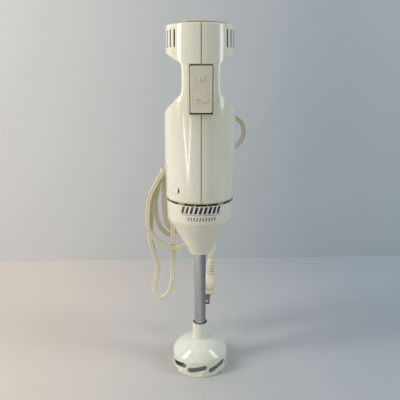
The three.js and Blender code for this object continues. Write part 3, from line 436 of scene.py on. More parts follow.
def shaped(name, start, *steps):
    """Cuts, joins or keeps what is common, in order; steps are (operation, mesh) pairs."""
    base = placed(name, start)
    tools = []
    for operation, mesh in steps:
        tool = placed(name + "_tool", mesh)
        tools.append(tool)
        modifier = base.modifiers.new("step", "BOOLEAN")
        modifier.operation = operation
        modifier.solver = "MANIFOLD"
        modifier.object = tool
    return plain_mesh(base, *tools)


def ribs_along(name, rib, count, start, step, shrink, finish):
    """Copies of a rib up the Z axis, each a little smaller than the last."""
    rib_object = placed(name + "_rib", rib)
    pattern = Pattern(
        name, part=rib_object, count=count, start=start, step=step, shrink=shrink,
        finish=finish.material)
    number = pattern.node("GeometryNodeInputIndex")
    height = pattern["start"] + number * pattern["step"]
    size = 1 - number * pattern["shrink"]
    pattern.set_out(
        pattern.node("ShaderNodeCombineXYZ", {}, {"Z": height}),
        (0, 0, 0),
        pattern.node("ShaderNodeCombineXYZ", {}, {"X": size, "Y": size, "Z": 1.0}))
    mesh = pattern.made(name)
    discard(rib_object)
    return mesh


relief_root = 5.6 * mm
relief_tip = 3.6 * mm
relief_neck = 4.2 * mm
relief_wall = 2.5 * mm
rib_count = 8
rib_step = 2.9 * mm
relief_core = turned("relief_core", rounded([
    (0, -7 * mm, 0), (relief_root, -7 * mm), (relief_root, -relief_wall - 0.4 * mm, 0.2 * mm),
    (relief_neck, -relief_wall - 0.4 * mm, 0.2 * mm), (relief_neck, 0.6 * mm, 0.2 * mm),
    (relief_root, 0.6 * mm, 0.6 * mm), (relief_root, 4 * mm, 0.8 * mm), (relief_root - 1.3 * mm, 5 * mm),
    (relief_tip - 0.9 * mm, relief_length - 1 * mm), (relief_tip - 0.4 * mm, relief_length, 0.5 * mm),
    (0, relief_length, 0)], 0.7 * mm))
relief_rib = turned("relief_rib", rounded([
    (1.5 * mm, -0.75 * mm, 0), (relief_root - 0.2 * mm, -0.75 * mm, 0.5 * mm),
    (relief_root - 0.2 * mm, 0.75 * mm, 0.5 * mm), (1.5 * mm, 0.75 * mm, 0)], 0.5 * mm), 40)
relief_ribs = ribs_along(
    "relief_ribs", relief_rib, rib_count, 6.6 * mm, rib_step, 0.045, cord_vinyl)
relief_place = Matrix.Translation(relief_seat) @ Vector((0, 0, 1)).rotation_difference(
    relief_out).to_matrix().to_4x4()
relief_mesh = shaped("strain_relief_ribbed", relief_core, ("UNION", relief_ribs))
relief_mesh.transform(relief_place)
strain_relief = smooth_object("strain_relief_ribbed", relief_mesh, cord_vinyl)
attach(strain_relief, "frame")
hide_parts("strain_relief")


# ------------------------------------------------------------------ plug
# A moulded two-pin mains plug: a flat-sided body with a flange to pull on, a ribbed boot on the
# cord, and two flat prongs with a hole near the end of each.
def slab_ring(half_x, half_y, height, corner, count=48):
    """A rounded rectangle of points at one height; corner is the power of its superellipse."""
    ring = []
    for i in range(count):
        turn = 2 * pi * (i + 0.5) / count
        c, s = cos(turn), sin(turn)
        reach = (abs(c) ** corner + abs(s) ** corner) ** (-1 / corner)
        ring.append((half_x * c * reach, half_y * s * reach, height))
    return ring


boot = 22 * mm
plug_body_length = 20 * mm
plug_half_x = 7.5 * mm
plug_half_y = 12.5 * mm
plug_foot = -boot - plug_body_length
plug_sections = [
    # share of half width, share of half breadth, height above the foot, squareness
    (0.86, 0.9, 0.0, 6), (0.95, 0.96, 0.5, 6), (0.98, 0.985, 1.2, 6), (0.98, 0.985, 3.6, 6),
    (0.95, 0.965, 4.1, 6), (0.84, 0.9, 4.5, 5), (0.82, 0.88, 5.0, 5), (0.82, 0.88, 6.4, 5),
    (0.86, 0.91, 6.9, 5), (0.95, 0.96, 7.3, 5), (0.98, 0.975, 7.9, 5), (0.96, 0.95, 11.5, 5),
    (0.92, 0.87, 14.5, 4.5), (0.88, 0.72, 17.0, 4), (0.82, 0.56, 19.0, 3.2), (0.77, 0.46, 20.5, 2.6),
    (0.7, 0.42, 22.0, 2), (0.56, 0.34, 23.5, 2), (0.46, 0.28, 26.0, 2), (0.4, 0.24, 34.0, 2),
    (0.38, 0.228, 41.2, 2), (0.33, 0.2, 41.9, 2), (0.2, 0.12, 42.0, 2),
]
plug_core = lofted("plug_core", [
    slab_ring(plug_half_x * x, plug_half_y * y, plug_foot + height * mm, square)
    for x, y, height, square in plug_sections])
boot_rib = turned("boot_rib", rounded([
    (1.5 * mm, -0.95 * mm, 0), (5.9 * mm, -0.95 * mm, 0.6 * mm), (5.9 * mm, 0.95 * mm, 0.6 * mm),
    (1.5 * mm, 0.95 * mm, 0)], 0.6 * mm), 40)
boot_ribs = ribs_along("boot_ribs", boot_rib, 5, plug_foot + 25.0 * mm, 3.5 * mm, 0.07, cord_vinyl)
plug_place = Matrix.Translation(plug_top) @ Matrix.Rotation(plug_lean, 4, "Y")
plug_mesh = shaped("plug_moulded", plug_core, ("UNION", boot_ribs))
plug_mesh.transform(plug_place)
plug_body = smooth_object("plug_moulded", plug_mesh, cord_vinyl)
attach(plug_body, "frame")
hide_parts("plug_body")


def rolled_brass(name, base, tarnish):
    """Sheet brass: fine rolling lines, brown tarnish in clouds, a few bright rubbed places."""
    finish = Finish(name, Metallic=1.0)
    cloud = finish.step(finish.noise(5 * mm, 4), 0.35, 0.7)
    lines = finish.noise(0.25 * mm, 3, finish.stretched(1, 1, 0.06))
    finish.surface(
        Base_Color=finish.mix(cloud * 0.75, base, tarnish),
        Roughness=0.24 + cloud * 0.22 + lines * 0.1,
        Normal=finish.bump(lines, 0.01 * mm))
    return finish


def coat(finish, *nodes):
    """Gives CAD nodes their finish; their shape stays."""
    for name in nodes:
        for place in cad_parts[name].material_slots:
            place.material = finish.material


prong_brass = rolled_brass("prong_brass", ink(158, 146, 118), ink(84, 76, 62))
coat(prong_brass, "plug_blade_front", "plug_blade_rear")


# ------------------------------------------------------------------ cord tie
# A vinyl-covered wire wound twice round the four passes of the cord, with its ends twisted.
def swept(name, path, section, start_side):
    """A section carried along a path; start_side fixes which way its first axis points."""
    rings = []
    side = Vector(start_side)
    for i, centre in enumerate(path):
        along = (path[min(i + 1, len(path) - 1)] - path[max(i - 1, 0)]).normalized()
        side = (side - along * side.dot(along)).normalized()
        up = along.cross(side)
        rings.append([centre + side * x + up * y for x, y in section])
    return lofted(name, rings)


tie_turn = Matrix.Translation(tie_place) @ Matrix.Rotation(radians(38), 4, "Y")
tie_half = (4.3 * mm, 8.9 * mm)
tie_section = [(1.15 * mm * cos(a), 0.45 * mm * sin(a)) for a in (2 * pi * i / 12 for i in range(12))]
tie_turns = 2
tie_steps = 96
tail_steps = 32
tie_points = []
for i in range(tie_steps + 1):
    turn = 2 * pi * tie_turns * i / tie_steps + pi / 2
    c, s = cos(turn), sin(turn)
    reach = (abs(c) ** 4 + abs(s) ** 4) ** -0.25
    height = -1.5 * mm + 3.0 * mm * i / tie_steps
    tie_points.append(Vector((tie_half[0] * c * reach, tie_half[1] * s * reach, height)))
tie_loop = swept("tie_loop", tie_points, tie_section, (0, 0, 1))
tail_parts = []
for start in (0, pi):
    tail = []
    for i in range(tail_steps + 1):
        share = i / tail_steps
        spin = start + share * 5 * pi
        spread = 0.9 * mm * (1 - 0.2 * share)
        tail.append(Vector((
            spread * cos(spin) + 3.2 * mm * share,
            8.6 * mm + 1.6 * mm * sin(share * pi / 2) + spread * 0.6 * sin(spin),
            -1 * mm - 11 * mm * share)))
    tail_parts.append(swept(
        "tie_tail", tail, [(x * 0.75, y * 0.9) for x, y in tie_section], (1, 0, 0)))
tie_mesh = shaped("cord_tie_twisted", tie_loop, *(("UNION", part) for part in tail_parts))
tie_mesh.transform(tie_turn)
tie_vinyl = vinyl("tie_vinyl", ink(222, 212, 180), ink(205, 190, 150), ink(140, 120, 86))
cord_tie = smooth_object("cord_tie_twisted", tie_mesh, tie_vinyl)
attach(cord_tie, "frame")
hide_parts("cord_tie")


# ------------------------------------------------------------------ housing halves
# Two polished ABS shells that meet on the middle plane. Each is a slice of a turned barrel and
# head, narrowed from the side to make the grip, with bosses for the three screws inside.
def corners(node):
    """The lowest and highest corners of a CAD node."""
    return [Vector(corner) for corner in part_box(node)]


housing_low, housing_high = corners("housing_left")
barrel_foot = housing_low.z
head_top = housing_high.z
barrel_top = barrel_foot + 86.7 * mm
grip_foot = barrel_top + 17.6 * mm
grip_top = grip_foot + 23.7 * mm
head_foot = head_top - 25 * mm
barrel_radius = 34.9 * mm
barrel_bulge = 0.6 * mm
head_radius = 32.4 * mm
head_root = 32.9 * mm
grip_half = 17.8 * mm
rim_round = 1.2 * mm
foot_round = 0.5 * mm
housing_wall = 2.2 * mm
half_gap = 0.15 * mm
lip_depth = 0.5 * mm
shoulder_slope = (barrel_radius - grip_half) / (grip_foot - barrel_top)
flare_start = Vector((grip_half + 2.4 * mm, grip_top + 4 * mm))
flare_slope = (head_root - flare_start.x) / (head_foot - flare_start.y)
shoulder_fillet = 2.4 * mm
flare_fillet = 2.8 * mm


def larger(a, b, blend):
    return (a + b + sqrt((a - b) ** 2 + blend**2)) / 2


def smaller(a, b, blend):
    return (a + b - sqrt((a - b) ** 2 + blend**2)) / 2


def between(start, end, share):
    return start + (end - start) * min(1.0, max(0.0, share))


def round_radius(z):
    """Radius of the turned outside at a height."""
    if z <= barrel_top:
        share = max(0.0, (z - barrel_foot) / (barrel_top - barrel_foot))
        radius = barrel_radius + barrel_bulge * 4 * share * (1 - share)
    elif z <= head_foot:
        radius = between(barrel_radius, head_root, (z - barrel_top) / (head_foot - barrel_top))
    else:
        radius = between(head_root, head_radius, (z - head_foot) / (head_top - head_foot))
    over = min(rim_round, max(0.0, z - (head_top - rim_round)))
    under = min(foot_round, max(0.0, barrel_foot + foot_round - z))
    radius -= rim_round - sqrt(rim_round**2 - over**2)
    return radius - (foot_round - sqrt(foot_round**2 - under**2))


def half_width(z, skin):
    """Half the width that the two side cuts leave at a height."""
    shoulder = barrel_radius - (z - barrel_top) * shoulder_slope - skin * hypot(1, shoulder_slope)
    flare = flare_start.x + (z - flare_start.y) * flare_slope - skin * hypot(1, flare_slope)
    return larger(larger(grip_half - skin, shoulder, shoulder_fillet), flare, flare_fillet)


def edge_blend(z):
    """The ridges are crisp at the shoulder and at the head, and soft along the grip."""
    grip_share = min((z - (grip_foot - 7 * mm)) / (6 * mm), (head_foot + 2 * mm - z) / (5 * mm))
    return between(0.35 * mm, 1.5 * mm, grip_share)


def skin_point(turn, z, skin):
    """A point of the shell; turn is measured from the front towards +X."""
    sideways = half_width(z, skin) / max(0.01, abs(sin(turn)))
    radius = round_radius(z) - skin
    radius = smaller(radius, min(sideways, radius + 80 * mm), edge_blend(z))
    return Vector((radius * sin(turn), -radius * cos(turn), z))


def row_heights(turn, skin):
    """Heights up one column. They follow the ridges, so that each ridge lies along a row."""
    across = abs(sin(turn))
    ridge = barrel_top + (barrel_radius - max(barrel_radius * across, grip_half)) / shoulder_slope
    flare = flare_start.y + (max(head_root * across, grip_half) - flare_start.x) / flare_slope
    middle = (grip_foot + grip_top) / 2
    foot, top = barrel_foot, head_top - rim_round
    if skin:
        foot, top = barrel_foot - 1 * mm, head_top - skin
    near = 3 * mm
    rows = [foot, foot + 0.08 * mm, foot + 0.25 * mm]
    for start, end, count in (
            (foot + foot_round, ridge - near, 46), (ridge - near, ridge + near, 14),
            (ridge + near, middle, 12), (middle, flare - near, 9),
            (flare - near, flare + near, 14), (flare + near, top, 14)):
        rows.extend(start + (end - start) * i / count for i in range(count))
    rows.append(top)
    if not skin:
        rows.extend(top + rim_round * sin(radians(18 * i)) for i in range(1, 6))
    return rows


edge_turn = 31.5
even_turns = [1.5 * i for i in range(1, 120)]
column_turns = sorted(even_turns + [
    turn + 0.75 for turn in even_turns[:-1]
    if min(abs(turn - edge_turn), abs(180 - turn - edge_turn)) < 9])


def housing_solid(skin, side=0):
    """The whole body inset by skin, or with a side given, the half of it on that side."""
    columns = []
    if side:
        lips = ((half_gap, lip_depth), (0.32 * mm, 0.14 * mm), (0.6 * mm, 0.02 * mm))
        for x, depth in lips:
            columns.append([(x, depth, 1, z) for z in row_heights(0, skin)])
        for degrees in column_turns:
            turn = radians(degrees)
            columns.append([(turn, None, 0, z) for z in row_heights(turn, skin)])
        for x, depth in reversed(lips):
            columns.append([(x, depth, -1, z) for z in row_heights(pi, skin)])
    else:
        for i in range(160):
            turn = 2 * pi * i / 160
            columns.append([(turn, None, 0, z) for z in row_heights(turn, skin)])
    points, rows = [], len(columns[0])
    for column in columns:
        for first, depth, facing, z in column:
            if facing:
                radius = round_radius(z) - skin - depth
                point = Vector((first, -facing * sqrt(radius**2 - first**2), z))
            else:
                point = skin_point(first, z, skin)
            points.append((point.x * (side or 1), point.y, point.z))
    faces = []
    for i in range(len(columns) - (1 if side else 0)):
        here, ahead = i * rows, ((i + 1) % len(columns)) * rows
        faces.extend(
            (here + k, ahead + k, ahead + k + 1, here + k + 1) for k in range(rows - 1))
    starts = [i * rows for i in range(len(columns))]
    faces.append(tuple(reversed(starts)))
    faces.append(tuple(start + rows - 1 for start in starts))
    if side:
        last = starts[-1]
        faces.append((*range(rows), *range(last + rows - 1, last - 1, -1)))
    return closed_mesh("housing_solid", points, faces)


def block(low, high, place=None):
    """A box from its two opposite corners, in metres."""
    (x0, y0, z0), (x1, y1, z1) = low, high
    points = [(x, y, z) for z in (z0, z1) for y in (y0, y1) for x in (x0, x1)]
    faces = [(0, 2, 3, 1), (4, 5, 7, 6), (0, 1, 5, 4), (1, 3, 7, 5), (3, 2, 6, 7), (2, 0, 4, 6)]
    mesh = closed_mesh("block", points, faces)
    if place is not None:
        mesh.transform(place)
    return mesh


def rod(radius, start, end, segments=48):
    """A plain cylinder between two points."""
    start, end = Vector(start), Vector(end)
    length = (end - start).length
    turn = Vector((0, 0, 1)).rotation_difference(end - start).to_matrix().to_4x4()
    return turned(
        "rod", [(0, 0), (radius, 0), (radius, length), (0, length)], segments,
        Matrix.Translation(start) @ turn)


def copies_round(name, part, count, start, pitch, finish):
    """Copies of a part set round the shaft line; start and pitch are angles in radians."""
    part_object = placed(name + "_part", part)
    pattern = Pattern(
        name, part=part_object, count=count, start=start, pitch=pitch, finish=finish.material)
    angle = pattern["start"] + pattern.node("GeometryNodeInputIndex") * pattern["pitch"]
    pattern.set_out(
        (0, 0, 0), pattern.node("ShaderNodeCombineXYZ", {}, {"Z": angle}), (1, 1, 1))
    mesh = pattern.made(name)
    discard(part_object)
    return mesh


def cad_copy(node):
    """A merged copy of a CAD node's mesh."""
    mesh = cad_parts[node].data.copy()
    shape = bmesh.new()
    shape.from_mesh(mesh)
    bmesh.ops.remove_doubles(shape, verts=shape.verts, dist=1e-6)
    shape.to_mesh(mesh)
    shape.free()
    return mesh


def moulded(name, colour, aged, dirt, gloss, peel=0.004 * mm):
    """Hard moulded plastic: clouds of yellowing, a few specks, faint scuffs, a slight orange peel."""
    finish = Finish(name, Specular_IOR_Level=0.5, Coat_Roughness=0.04)
    clouds = finish.step(finish.noise(42 * mm, 3), 0.34, 0.66)
    specks = finish.step(finish.noise(1.1 * mm, 2), 0.73, 0.78)
    marks = finish.scuffs(9 * mm, 24 * mm, 0.42, finish.stretched(1, 1, 0.12))
    handling = finish.step(finish.noise(13 * mm, 5, rough=0.65), 0.45, 0.7)
    finish.body = finish.mix(specks * 0.35, finish.mix(clouds * 0.55, colour, aged), dirt)
    finish.relief = finish.bump(
        marks, -0.006 * mm, finish.bump(finish.noise(3.2 * mm, 2), peel))
    finish.rough = gloss + handling * 0.05 + marks * 0.12
    finish.surface(
        Base_Color=finish.body, Roughness=finish.rough, Normal=finish.relief,
        Coat_Weight=0.25 - handling * 0.15)
    return finish


housing_cream = moulded(
    "housing_cream", ink(230, 229, 212), ink(220, 215, 190), ink(124, 104, 74), 0.12)
label_low = Vector((20, -13.6, 204.2)) * mm
label_high = Vector((50, 3.4, 234.8)) * mm
x_place, y_place, z_place = housing_cream.axes()
seam_dirt = (1 - housing_cream.step(abs(x_place), 0.2 * mm, 0.75 * mm)) * (
    housing_cream.noise(5 * mm, 4) * 0.8 + 0.25)
foot_dirt = (1 - housing_cream.step(z_place, barrel_foot, barrel_foot + 2.6 * mm)) * (
    housing_cream.noise(2.5 * mm, 4) * 0.9)
label = (
    housing_cream.band(abs(x_place), label_low.x, label_high.x, 0.1 * mm)
    * housing_cream.band(y_place, label_low.y + 0.8 * mm, label_high.y - 0.8 * mm, 0.2 * mm)
    * housing_cream.band(z_place, label_low.z + 0.8 * mm, label_high.z - 0.8 * mm, 0.2 * mm))
ridges = housing_cream.maths("PINGPONG", z_place / (0.55 * mm), 1.0)
broken = housing_cream.step(housing_cream.noise(0.8 * mm, 1), 0.42, 0.55)
dirt_and_painted_shade = housing_cream.mix(
    label * broken * 0.35, housing_cream.body, ink(160, 138, 100))
rocker_low, rocker_high = corners("rocker_switch")
bezel_low, bezel_high = corners("switch_bezel")
switch_height = (bezel_low.z + bezel_high.z) / 2
past_bezel = housing_cream.maths(
    "MAXIMUM", abs(x_place) - bezel_high.x, abs(z_place - switch_height) - bezel_high.z + switch_height)
# Painted shade: a thin dark line on the housing all round the switch bezel, where the joint between the
# two parts is shaded.
bezel_painted_shade = (1 - housing_cream.step(past_bezel, 0.1 * mm, 0.5 * mm)) * (
    1 - housing_cream.step(y_place, -12 * mm, -10 * mm))
dirt_and_painted_shade = housing_cream.mix(bezel_painted_shade * 0.6, dirt_and_painted_shade, ink(120, 108, 84))
# Painted shade: the walls of the head's air slits, just inside the outer skin, are painted dark brown as
# the shade inside the slits.
off_axis = housing_cream.maths("SQRT", x_place * x_place + y_place * y_place)
inside = (1 - housing_cream.step(off_axis, 31.4 * mm, 32.1 * mm)) * housing_cream.band(
    z_place, head_foot + 1 * mm, head_top - 2.4 * mm, 0.6 * mm)
dirt_and_painted_shade = housing_cream.mix(inside, dirt_and_painted_shade, ink(58, 50, 40))
dirt_and_painted_shade = housing_cream.mix(seam_dirt, dirt_and_painted_shade, ink(112, 96, 74))
dirt_and_painted_shade = housing_cream.mix(foot_dirt, dirt_and_painted_shade, ink(150, 128, 92))
housing_cream.surface(
    Base_Color=dirt_and_painted_shade,
    Roughness=housing_cream.rough + seam_dirt * 0.3 + label * 0.12,
    Normal=housing_cream.bump(label * ridges * broken, 0.12 * mm, housing_cream.relief))

# Openings shared by the two halves: the switch, the cord, the air slits and the seat of the cap.
opening_half_width = bezel_high.x - 0.7 * mm
opening_half_height = (bezel_high.z - bezel_low.z) / 2 - 0.25 * mm
cap_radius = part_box("head_cap")[1][0]
seat_gap = 0.3 * mm
slit_count = 9
slit_pitch = radians(10.6)
slit_top = head_top - 4.6 * mm
slit_foot = slit_top - 15.8 * mm
slit_half = 1.05 * mm
screw_plugs = {
    "front": (-24 * mm, barrel_foot + 12.3 * mm),
    "rear": (24 * mm, barrel_foot + 12.3 * mm),
    "grip": (20 * mm, grip_foot + 12 * mm),
}
plug_radius = 4.1 * mm
plug_seat = 11 * mm


def slit_tool():
    """An upright slit with round ends, at the front of the head."""
    outline = []
    for end, centre in ((1, slit_top - slit_half), (-1, slit_foot + slit_half)):
        for i in range(13):
            turn = pi * i / 12
            outline.append((end * slit_half * cos(turn), centre + end * slit_half * sin(turn)))
    rings = [[(x, y, z) for x, z in outline] for y in (-head_radius - 3 * mm, -head_radius + 5 * mm)]
    return lofted("slit_tool", rings)


def seat_depth(y, z):
    """How far out from the middle plane a screw plug's seat lies."""
    flank = grip_half if z > barrel_top else sqrt(barrel_radius**2 - y**2)
    return flank - plug_seat - 1.5 * mm


inner_solid = housing_solid(housing_wall)
boss_room = housing_solid(housing_wall - 0.6 * mm)
for side, half in ((-1, "left"), (1, "right")):
    node = "housing_" + half
    bosses = shaped("bosses", cad_copy(node), ("INTERSECT", boss_room.copy()))
    slit_start = side * pi / 2 - (slit_count - 1) / 2 * slit_pitch
    steps = [
        ("DIFFERENCE", inner_solid.copy()),
        ("UNION", bosses),
        ("DIFFERENCE", block(
            (-opening_half_width, -60 * mm, switch_height - opening_half_height),
            (opening_half_width, -barrel_radius / 2, switch_height + opening_half_height))),
        ("DIFFERENCE", rod(
            relief_neck + seat_gap, relief_seat - relief_out * 15 * mm,
            relief_seat + relief_out * 15 * mm)),
        ("DIFFERENCE", turned("cap_seat", [
            (0, head_top - 10 * mm), (cap_radius - 3 * mm, head_top - 10 * mm),
            (cap_radius - 3 * mm, head_top - 1 * mm), (cap_radius + seat_gap, head_top - 1 * mm),
            (cap_radius + seat_gap, head_top - 0.3 * mm), (cap_radius + 0.7 * mm, head_top + 1 * mm),
            (0, head_top + 1 * mm)], 128)),
        ("DIFFERENCE", copies_round(
            "air_slits", slit_tool(), slit_count, slit_start, slit_pitch, housing_cream)),
        ("DIFFERENCE", shaped(
            "label_recess", block(
                (min(side * label_low.x, side * label_high.x), label_low.y, label_low.z),
                (max(side * label_low.x, side * label_high.x), label_high.y, label_high.z)),
            ("DIFFERENCE", housing_solid(0.3 * mm)))),
    ]
    if side < 0:
        for y, z in screw_plugs.values():
            steps.append(("DIFFERENCE", rod(
                plug_radius + 0.15 * mm, (-seat_depth(y, z), y, z), (-60 * mm, y, z))))
    shell_mesh = shaped(node + "_shell", housing_solid(0, side), *steps)
    shell = smooth_object(node + "_shell", shell_mesh, housing_cream, 28)
    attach(shell, "frame")
    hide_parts(node)


# ------------------------------------------------------------------ screw plugs
# Three press-in covers over the housing screws, on the left side. Each follows the curve of the
# shell and sits just below it.
cover_gap = 0.12 * mm
cover_drop = 0.05 * mm
for place, (y, z) in screw_plugs.items():
    cover_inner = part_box("screw_plug_" + place)[1][0]
    plug_solid = turned("screw_plug", rounded([
        (0, 0, 0), (plug_radius - cover_gap, 0, 0.3 * mm),
        (plug_radius - cover_gap, 30 * mm, 0.3 * mm), (0, 30 * mm, 0)], 0.3 * mm), 64,
        Matrix.Translation((cover_inner, y, z)) @ Matrix.Rotation(-pi / 2, 4, "Y"))
    plug_mesh = shaped(
        "screw_plug_" + place, plug_solid, ("INTERSECT", housing_solid(cover_drop)))
    cover = smooth_object("screw_cover_" + place, plug_mesh, housing_cream, 28)
    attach(cover, "frame")
    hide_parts("screw_plug_" + place)


# ------------------------------------------------------------------ head cap
# A shallow satin lid pressed into the top of the head. It has a raised rim, a shallow ring
# and a skirt that holds it in its seat.
cap_low, cap_high = corners("head_cap")
cap_foot = cap_low.z + 4 * mm
skirt = cap_radius - 3.3 * mm
crown = cap_high.z
cap_edge = crown - 0.6 * mm
cap_profile = rounded([
    (0, cap_foot, 0), (skirt - 1.6 * mm, cap_foot, 0.2 * mm), (skirt - 1.6 * mm, cap_low.z, 0.3 * mm),
    (skirt, cap_low.z, 0.3 * mm), (skirt, cap_foot, 0.2 * mm), (cap_radius, cap_foot, 0.2 * mm),
    (cap_radius, cap_edge, 0.7 * mm), (cap_radius * 0.93, cap_edge, 0.6 * mm),
    (cap_radius * 0.91, cap_edge - 0.5 * mm, 0.4 * mm),
    (cap_radius * 0.88, cap_edge - 0.1 * mm, 0.5 * mm),
    (cap_radius * 0.5, crown - 0.12 * mm, 4 * mm), (0, crown, 0)], 0.4 * mm)
cap_tan = moulded("cap_tan", ink(168, 150, 118), ink(150, 128, 94), ink(92, 74, 50), 0.36, 0.02 * mm)
grain = cap_tan.noise(0.35 * mm, 2)
cap_tan.surface(Normal=cap_tan.bump(grain, 0.02 * mm, cap_tan.relief))
head_cap = smooth_object("head_cap_lid", turned("head_cap_lid", cap_profile, 160), cap_tan, 32)
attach(head_cap, "frame")
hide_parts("head_cap")


# ------------------------------------------------------------------ motor cup
# The polished cone under the barrel. A crown of tabs carries the barrel and leaves a ring of
# air slits, and a printed band of plain bars runs across its front.
cup_tip = corners("motor_cup")[0].z
cup_top = barrel_foot - 2.1 * mm
cup_radius = 34.4 * mm
cup_draft = 0.5 * mm
cup_cone_top = cup_tip + 37 * mm
cup_tip_radius = 11.7 * mm
cup_shoulder = 2.2 * mm
cup_hub = 9 * mm
tube_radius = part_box("shaft_tube")[1][0]
socket = tube_radius + 0.3 * mm
ring_seat = cup_radius - housing_wall - 0.9 * mm
cone_slope = (cup_radius - cup_draft - cup_shoulder - cup_tip_radius) / (35 * mm)
cone_wall = housing_wall * hypot(1, cone_slope)
cup_profile = rounded([
    (socket, cup_tip, 0.4 * mm), (cup_tip_radius - 0.4 * mm, cup_tip, 1.6 * mm),
    (cup_tip_radius + 0.6 * mm, cup_tip + 3 * mm, 4 * mm),
    (cup_radius - cup_draft - cup_shoulder, cup_cone_top, 3 * mm),
    (cup_radius - cup_draft, cup_cone_top + 4.2 * mm, 4 * mm),
    (cup_radius, cup_top, 0.35 * mm),
    (ring_seat, cup_top, 0.2 * mm), (ring_seat, cup_top - 4.9 * mm, 0.2 * mm),
    (cup_radius - cup_draft - housing_wall, cup_top - 6.6 * mm, 0.5 * mm),
    (cup_radius - cup_draft - housing_wall, cup_cone_top + 4.5 * mm, 2 * mm),
    (cup_radius - cup_draft - cup_shoulder - cone_wall, cup_cone_top, 2 * mm),
    (cup_hub + 0.5 * mm, cup_tip + 4.5 * mm, 0.5 * mm), (cup_hub, cup_tip + 4.6 * mm, 0.2 * mm),
    (cup_hub, cup_tip + 14 * mm, 0.3 * mm), (socket, cup_tip + 14 * mm, 0.3 * mm)], 0.5 * mm)
crown_top = barrel_foot - 0.3 * mm
tab_wall = cup_radius - housing_wall
vent_half = cup_radius * sin(radians(9))
vent_tool = block(
    (-vent_half, -cup_radius - 2 * mm, cup_top - 0.1 * mm),
    (vent_half, -cup_radius + 6 * mm, barrel_foot))
cup_cream = moulded("cup_cream", ink(230, 229, 212), ink(220, 215, 190), ink(124, 104, 74), 0.12)
cup_steps = [("UNION", turned("cup_crown", [
    (tab_wall, cup_top - 0.5 * mm), (cup_radius - 0.05 * mm, cup_top - 0.5 * mm),
    (cup_radius - 0.05 * mm, crown_top), (tab_wall, crown_top)], 160))]
for centre, count, pitch in ((0, 3, 20.3), (180, 3, 20.3), (90, 5, 20.2), (-90, 5, 20.2)):
    start = radians(centre - (count - 1) / 2 * pitch)
    cup_steps.append(("DIFFERENCE", copies_round(
        "vent_slits", vent_tool.copy(), count, start, radians(pitch), cup_cream)))
cup_mesh = shaped("motor_cup_cone", turned("cup_cone", cup_profile, 160), *cup_steps)

print_blue = ink(38, 42, 66)
x_place, y_place, z_place = cup_cream.axes()
arc_place = cup_cream.maths("ARCTAN2", x_place, 0 - y_place) * cup_radius
facing = cup_cream.step(0 - y_place, 0, 1 * mm)


def bars(finish, along, height, low, high, reach, pitch, share, slant):
    """A row of slanted bars between two heights, reach metres each way from the front."""
    slanted = (along + height * slant) / pitch
    saw = finish.maths("FRACT", slanted + 100.0)
    bar = finish.step(saw, 0.0, 0.06) * (1 - finish.step(saw, share, share + 0.06))
    return bar * finish.band(height, low, high, 0.12 * mm) * finish.band(along, -reach, reach, 0.1 * mm)


tall_bars = bars(cup_cream, arc_place, z_place, 189.6 * mm, 196.8 * mm, 20.8 * mm, 4.6 * mm, 0.6, -0.3)
rule = cup_cream.band(z_place, 187.9 * mm, 188.4 * mm, 0.12 * mm) * cup_cream.band(
    arc_place, -20.5 * mm, 20.5 * mm, 0.1 * mm)
low_bars = bars(cup_cream, arc_place, z_place, 182.2 * mm, 186.0 * mm, 15.5 * mm, 3.0 * mm, 0.42, -0.3)
worn = 1 - cup_cream.step(cup_cream.noise(1.2 * mm, 4), 0.62, 0.7) * 0.5
printed = (tall_bars + rule * 0.8 + low_bars * 0.85) * facing * worn
rim_dirt = cup_cream.step(z_place, cup_top - 0.25 * mm, cup_top - 0.05 * mm) * 0.85
cup_cream.surface(
    Base_Color=cup_cream.mix(
        rim_dirt, cup_cream.mix(printed, cup_cream.body, print_blue), ink(150, 132, 98)),
    Roughness=cup_cream.rough + printed * 0.08,
    Normal=cup_cream.bump(printed, 0.01 * mm, cup_cream.relief))
motor_cup = smooth_object("motor_cup_cone", cup_mesh, cup_cream, 32)
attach(motor_cup, "frame")
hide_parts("motor_cup")


# ------------------------------------------------------------------ shaft tube
# A chromed steel tube between the cup and the guard, with fine lengthwise scratches and
# patches of dull stain.
tube_low, tube_high = corners("shaft_tube")
tube_bore = tube_radius - 0.8 * mm
tube_chrome = Finish("tube_chrome", Metallic=1.0)
long_marks = tube_chrome.noise(0.22 * mm, 3, tube_chrome.stretched(1, 1, 0.02))
haze = tube_chrome.step(tube_chrome.noise(9 * mm, 3), 0.5, 0.75)
# Painted reflection: long light and dark bands along the tube stand in for the reflections that chrome
# shows.
painted_reflection_bands = tube_chrome.step(tube_chrome.noise(2.2 * mm, 1, tube_chrome.stretched(1, 1, 0.004)), 0.42, 0.58)
stain = tube_chrome.step(
    tube_chrome.noise(2.4 * mm, 3, tube_chrome.stretched(1, 1, 0.4)), 0.7, 0.76)
tube_chrome.surface(
    Base_Color=tube_chrome.mix(
        stain * 0.7, tube_chrome.mix(
            haze * 0.25, tube_chrome.mix(painted_reflection_bands, ink(200, 202, 206), ink(142, 144, 148)),
            ink(140, 140, 142)),
        ink(92, 84, 74)),
    Roughness=0.09 + long_marks * 0.09 + haze * 0.05 + stain * 0.2,
    Normal=tube_chrome.bump(long_marks, 0.004 * mm))
tube_profile = rounded([
    (tube_bore, tube_low.z), (tube_radius, tube_low.z), (tube_radius, tube_low.z + 40 * mm, 0),
    (tube_radius, tube_high.z - 40 * mm, 0), (tube_radius, tube_high.z), (tube_bore, tube_high.z)],
    0.3 * mm)
shaft_tube = smooth_object(
    "shaft_tube_chromed", turned("shaft_tube_chromed", tube_profile, 96), tube_chrome)
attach(shaft_tube, "frame")
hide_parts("shaft_tube")


